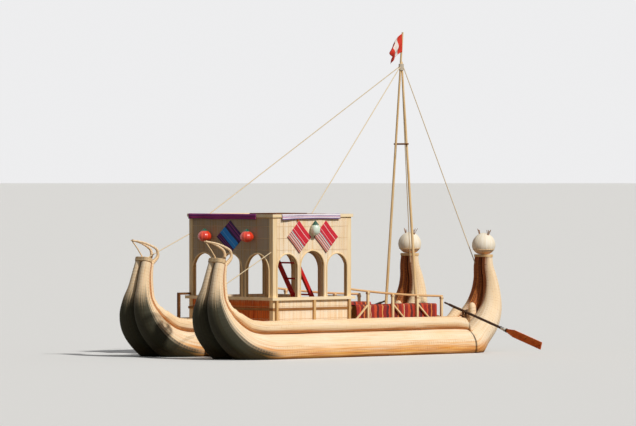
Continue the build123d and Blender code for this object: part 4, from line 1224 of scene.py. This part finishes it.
for hull, sign in hulls:
    low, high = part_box(f"railing_{hull}")
    line_y = (low.y + high.y) / 2
    rail_end = high.x - rail_post / 2

    def bar_level(x):
        """Height of the pole's middle, which sags a little between the cabin and the second post."""
        share = (x - low.x) / (rail_end - low.x)
        top = rail_rise_aft + (rail_rise_fore - rail_rise_aft) * share
        return deck_top + top - rail_bar / 2 - rail_sag * math.sin(math.pi * min(1, share))

    places = [low.x + (high.x - low.x) * step / 24 for step in range(25)]
    pole = [Vector((x, line_y, bar_level(x))) for x in places]
    bar = cord_piece(f"rail_pole_{hull}", [pole], rail_wood, "timber_pale", radius=rail_bar / 2, sides=2)
    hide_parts(f"railing_{hull}")
    bm = bmesh.new()
    for index in range(4):
        post_x = rail_end - index * rail_pitch
        lean = -1 if index == 3 else 1
        foot = Vector((post_x, line_y, deck_top))
        squared_bar(bm, foot, Vector((post_x, line_y, bar_level(post_x))), rail_post, rail_post)
        run = min(brace_run, high.x - post_x) if lean > 0 else brace_run
        brace_top = foot + upright * (brace_rise * run / brace_run)
        if run > rail_post:
            squared_bar(bm, brace_top, foot + Vector((lean * run, 0, 0.01)), rail_post * 0.8, rail_bar * 0.7)
        reach = rail_post * 0.56
        for turn in range(4):
            lash_z = bar_level(post_x) - 0.03 - turn * 0.008
            lashed = [(post_x + reach * a, line_y + reach * b, lash_z + 0.002 * b) for a, b in lash_corners]
            joint_turns.append(lashed)
    bmesh.ops.bevel(bm, geom=bm.edges, offset=0.006, segments=2, profile=0.5, affect="EDGES", material=-1)
    posts = finished(piece_from(bm, f"rail_posts_{hull}"), rail_post_wood, "timber_pale", f"railing_{hull}")
    posts.data.set_sharp_from_angle(angle=math.radians(40))
cord_piece("rail_lashings", joint_turns, reed_cord, "rope", radius=0.0045)


# The mast: two peeled poles that lean together on steps and are held by a crossbar and a lashing of many
# turns, with its rope stays.
pole_wood = timber_finish("pole_wood", "B88A54", "E2BE88", "F4DDB2", 2, 0.6)
stay_rope = rope_finish("stay_rope", "C6AC80", "F2E2C2")
crossbar_wood = timber_finish("crossbar_wood", "5E3A20", "96683C", "C39B68", 1, 0.6)
paint(pole_wood, "mast_pole_port", "mast_pole_stbd")
paint(crossbar_wood, "mast_crossbar")
paint(beam_timber, "mast_steps")
paint(stay_rope, "bow_stays", "roof_stays", "tail_ropes")
lash_low, lash_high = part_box("mast_lashing")
lash_middle = (lash_low + lash_high) / 2
lash_half_x = (lash_high.x - lash_low.x) / 2 - 0.008
lash_half_y = (lash_high.y - lash_low.y) / 2 - 0.008
lash_rope_radius = 0.0075
lash_steps = 24
lash_turns = int((lash_high.z - lash_low.z) / (2 * lash_rope_radius))
lashing_points = []
for step in range(lash_steps * (lash_turns - 1) + 1):
    turn = math.tau * step / lash_steps
    lash_z = lash_low.z + lash_rope_radius + step / lash_steps * 2 * lash_rope_radius
    round_x = lash_middle.x + lash_half_x * math.cos(turn)
    lashing_points.append((round_x, lash_half_y * math.sin(turn), lash_z))
lash_thickness = lash_rope_radius + 0.0008
cord_piece("mast_lashing_turns", [lashing_points], stay_rope, "rope", radius=lash_thickness, sides=2)


# The flag: a small plain cloth of three bands, which is tied to the taller pole above the lashing and droops
# from it in folds.
flag_low, flag_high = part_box("flag")
staff_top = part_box("mast_pole_port")[1].z
flag_hoist = 0.37
flag_y = (flag_low.y + flag_high.y) / 2


def drooping(u, v):
    """u runs from the hoist to the fly, and v from the lower corner up."""
    reach = (flag_high.x - flag_low.x) * 0.86
    sag = 0.30 * u**1.3
    x = flag_high.x - 0.012 - reach * math.sin(u * 1.25) / math.sin(1.25)
    z = staff_top - 0.03 - (1 - v) * flag_hoist * (1 - 0.12 * u) - sag
    fold = 0.055 * u * math.sin(v * 9 + u * 2.2) + 0.02 * u * math.sin(u * 11 + v * 3)
    x += 0.03 * u * math.cos(v * 9 + u * 2.2)
    return Vector((x, flag_y + fold, z))


BANDS = ((0.0, "E2351C"), (0.333, "F6F1EC"), (0.667, "E2351C"))
flag_dye = striped_cloth("flag_cloth_dye", BANDS, True, 200)
thin_cloth = {"columns": 44, "rows": 30, "thickness": 0.002}
flag = cloth_piece("flag_cloth", drooping, flag_dye, "flag_cloth", "flag", **thin_cloth)


# The oars: a dark shaft with a painted plank blade let into its end under a metal band, pinned in a wooden
# fork that turns on a stake through a saddle block. The neck is served with pale cord between tarred turns.
oar_wood = timber_finish("oar_wood", "1E120B", "3E2818", "5E4028", 1, 0.45)
dark_wood = timber_finish("dark_wood", "2E1C10", "5A3A22", "7E5634", 0, 0.6)
blade_stops = ((0.2, "BC4312"), (0.5, "EC6A20"), (0.85, "F79448"))
blade_grain = ((70, 5, 12), 5)
blade_finish = chipped_paint(
    "blade_paint", blade_stops, blade_grain, (24, 9, 24), (0.58, 0.68), "7A4A28", (0.5, 0.3), 0.8
)
band_metal = Finish("band_metal")
band_scuff = band_metal.grain(band_metal.place(), (90, 90, 90), 4)
band_colour = band_metal.ramp(band_scuff, ((0.3, "7E7A74"), (0.7, "C9C6C0")))
band_rough = 0.3 + band_scuff * 0.3
band_finish = band_metal.dress(band_colour, band_rough, band_scuff, 0.0005, metallic=1.0, shine=0.5)
paint(beam_timber, "oar_saddles")
tarred_rope = rope_finish("tarred_rope", "0E0A08", "4A3A2C")
serving_cord = rope_finish("serving_cord", "B8B0A0", "F2EEE4")
# Columns: name, cord, start and end along the shaft from the band's middle, girth, slot.
SERVINGS = (
    ("tarred_root", tarred_rope, -0.075, -0.045, 0.028, "dark_rope"),
    ("pale", serving_cord, 0.035, 0.085, 0.034, "rope"),
    ("tarred_neck", tarred_rope, 0.09, 0.115, 0.037, "dark_rope"),
)
for hull, sign in hulls:
    paint(oar_wood, f"oar_shaft_{hull}")
    paint(dark_wood, f"oar_fork_{hull}")
    paint(blade_finish, f"oar_blade_{hull}")
    paint(band_finish, f"oar_band_{hull}")
    low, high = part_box(f"oar_shaft_{hull}")
    band_low, band_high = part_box(f"oar_band_{hull}")
    shaft_axis = Vector((0, sign * (high.y - low.y), low.z - high.z)).normalized()
    band_middle = (band_low + band_high) / 2
    for serving, material, start, end, girth, slot in SERVINGS:
        ways = (start, (start + end) / 2, end)
        seats = [(band_middle + shaft_axis * way, shaft_axis, forward, girth, way) for way in ways]
        turns = winding(seats, 0.012, 0)
        name = f"oar_serving_{serving}_{hull}"
        cord_piece(name, [turns], material, slot, radius=0.006, sides=2, body=f"oar_{hull}")
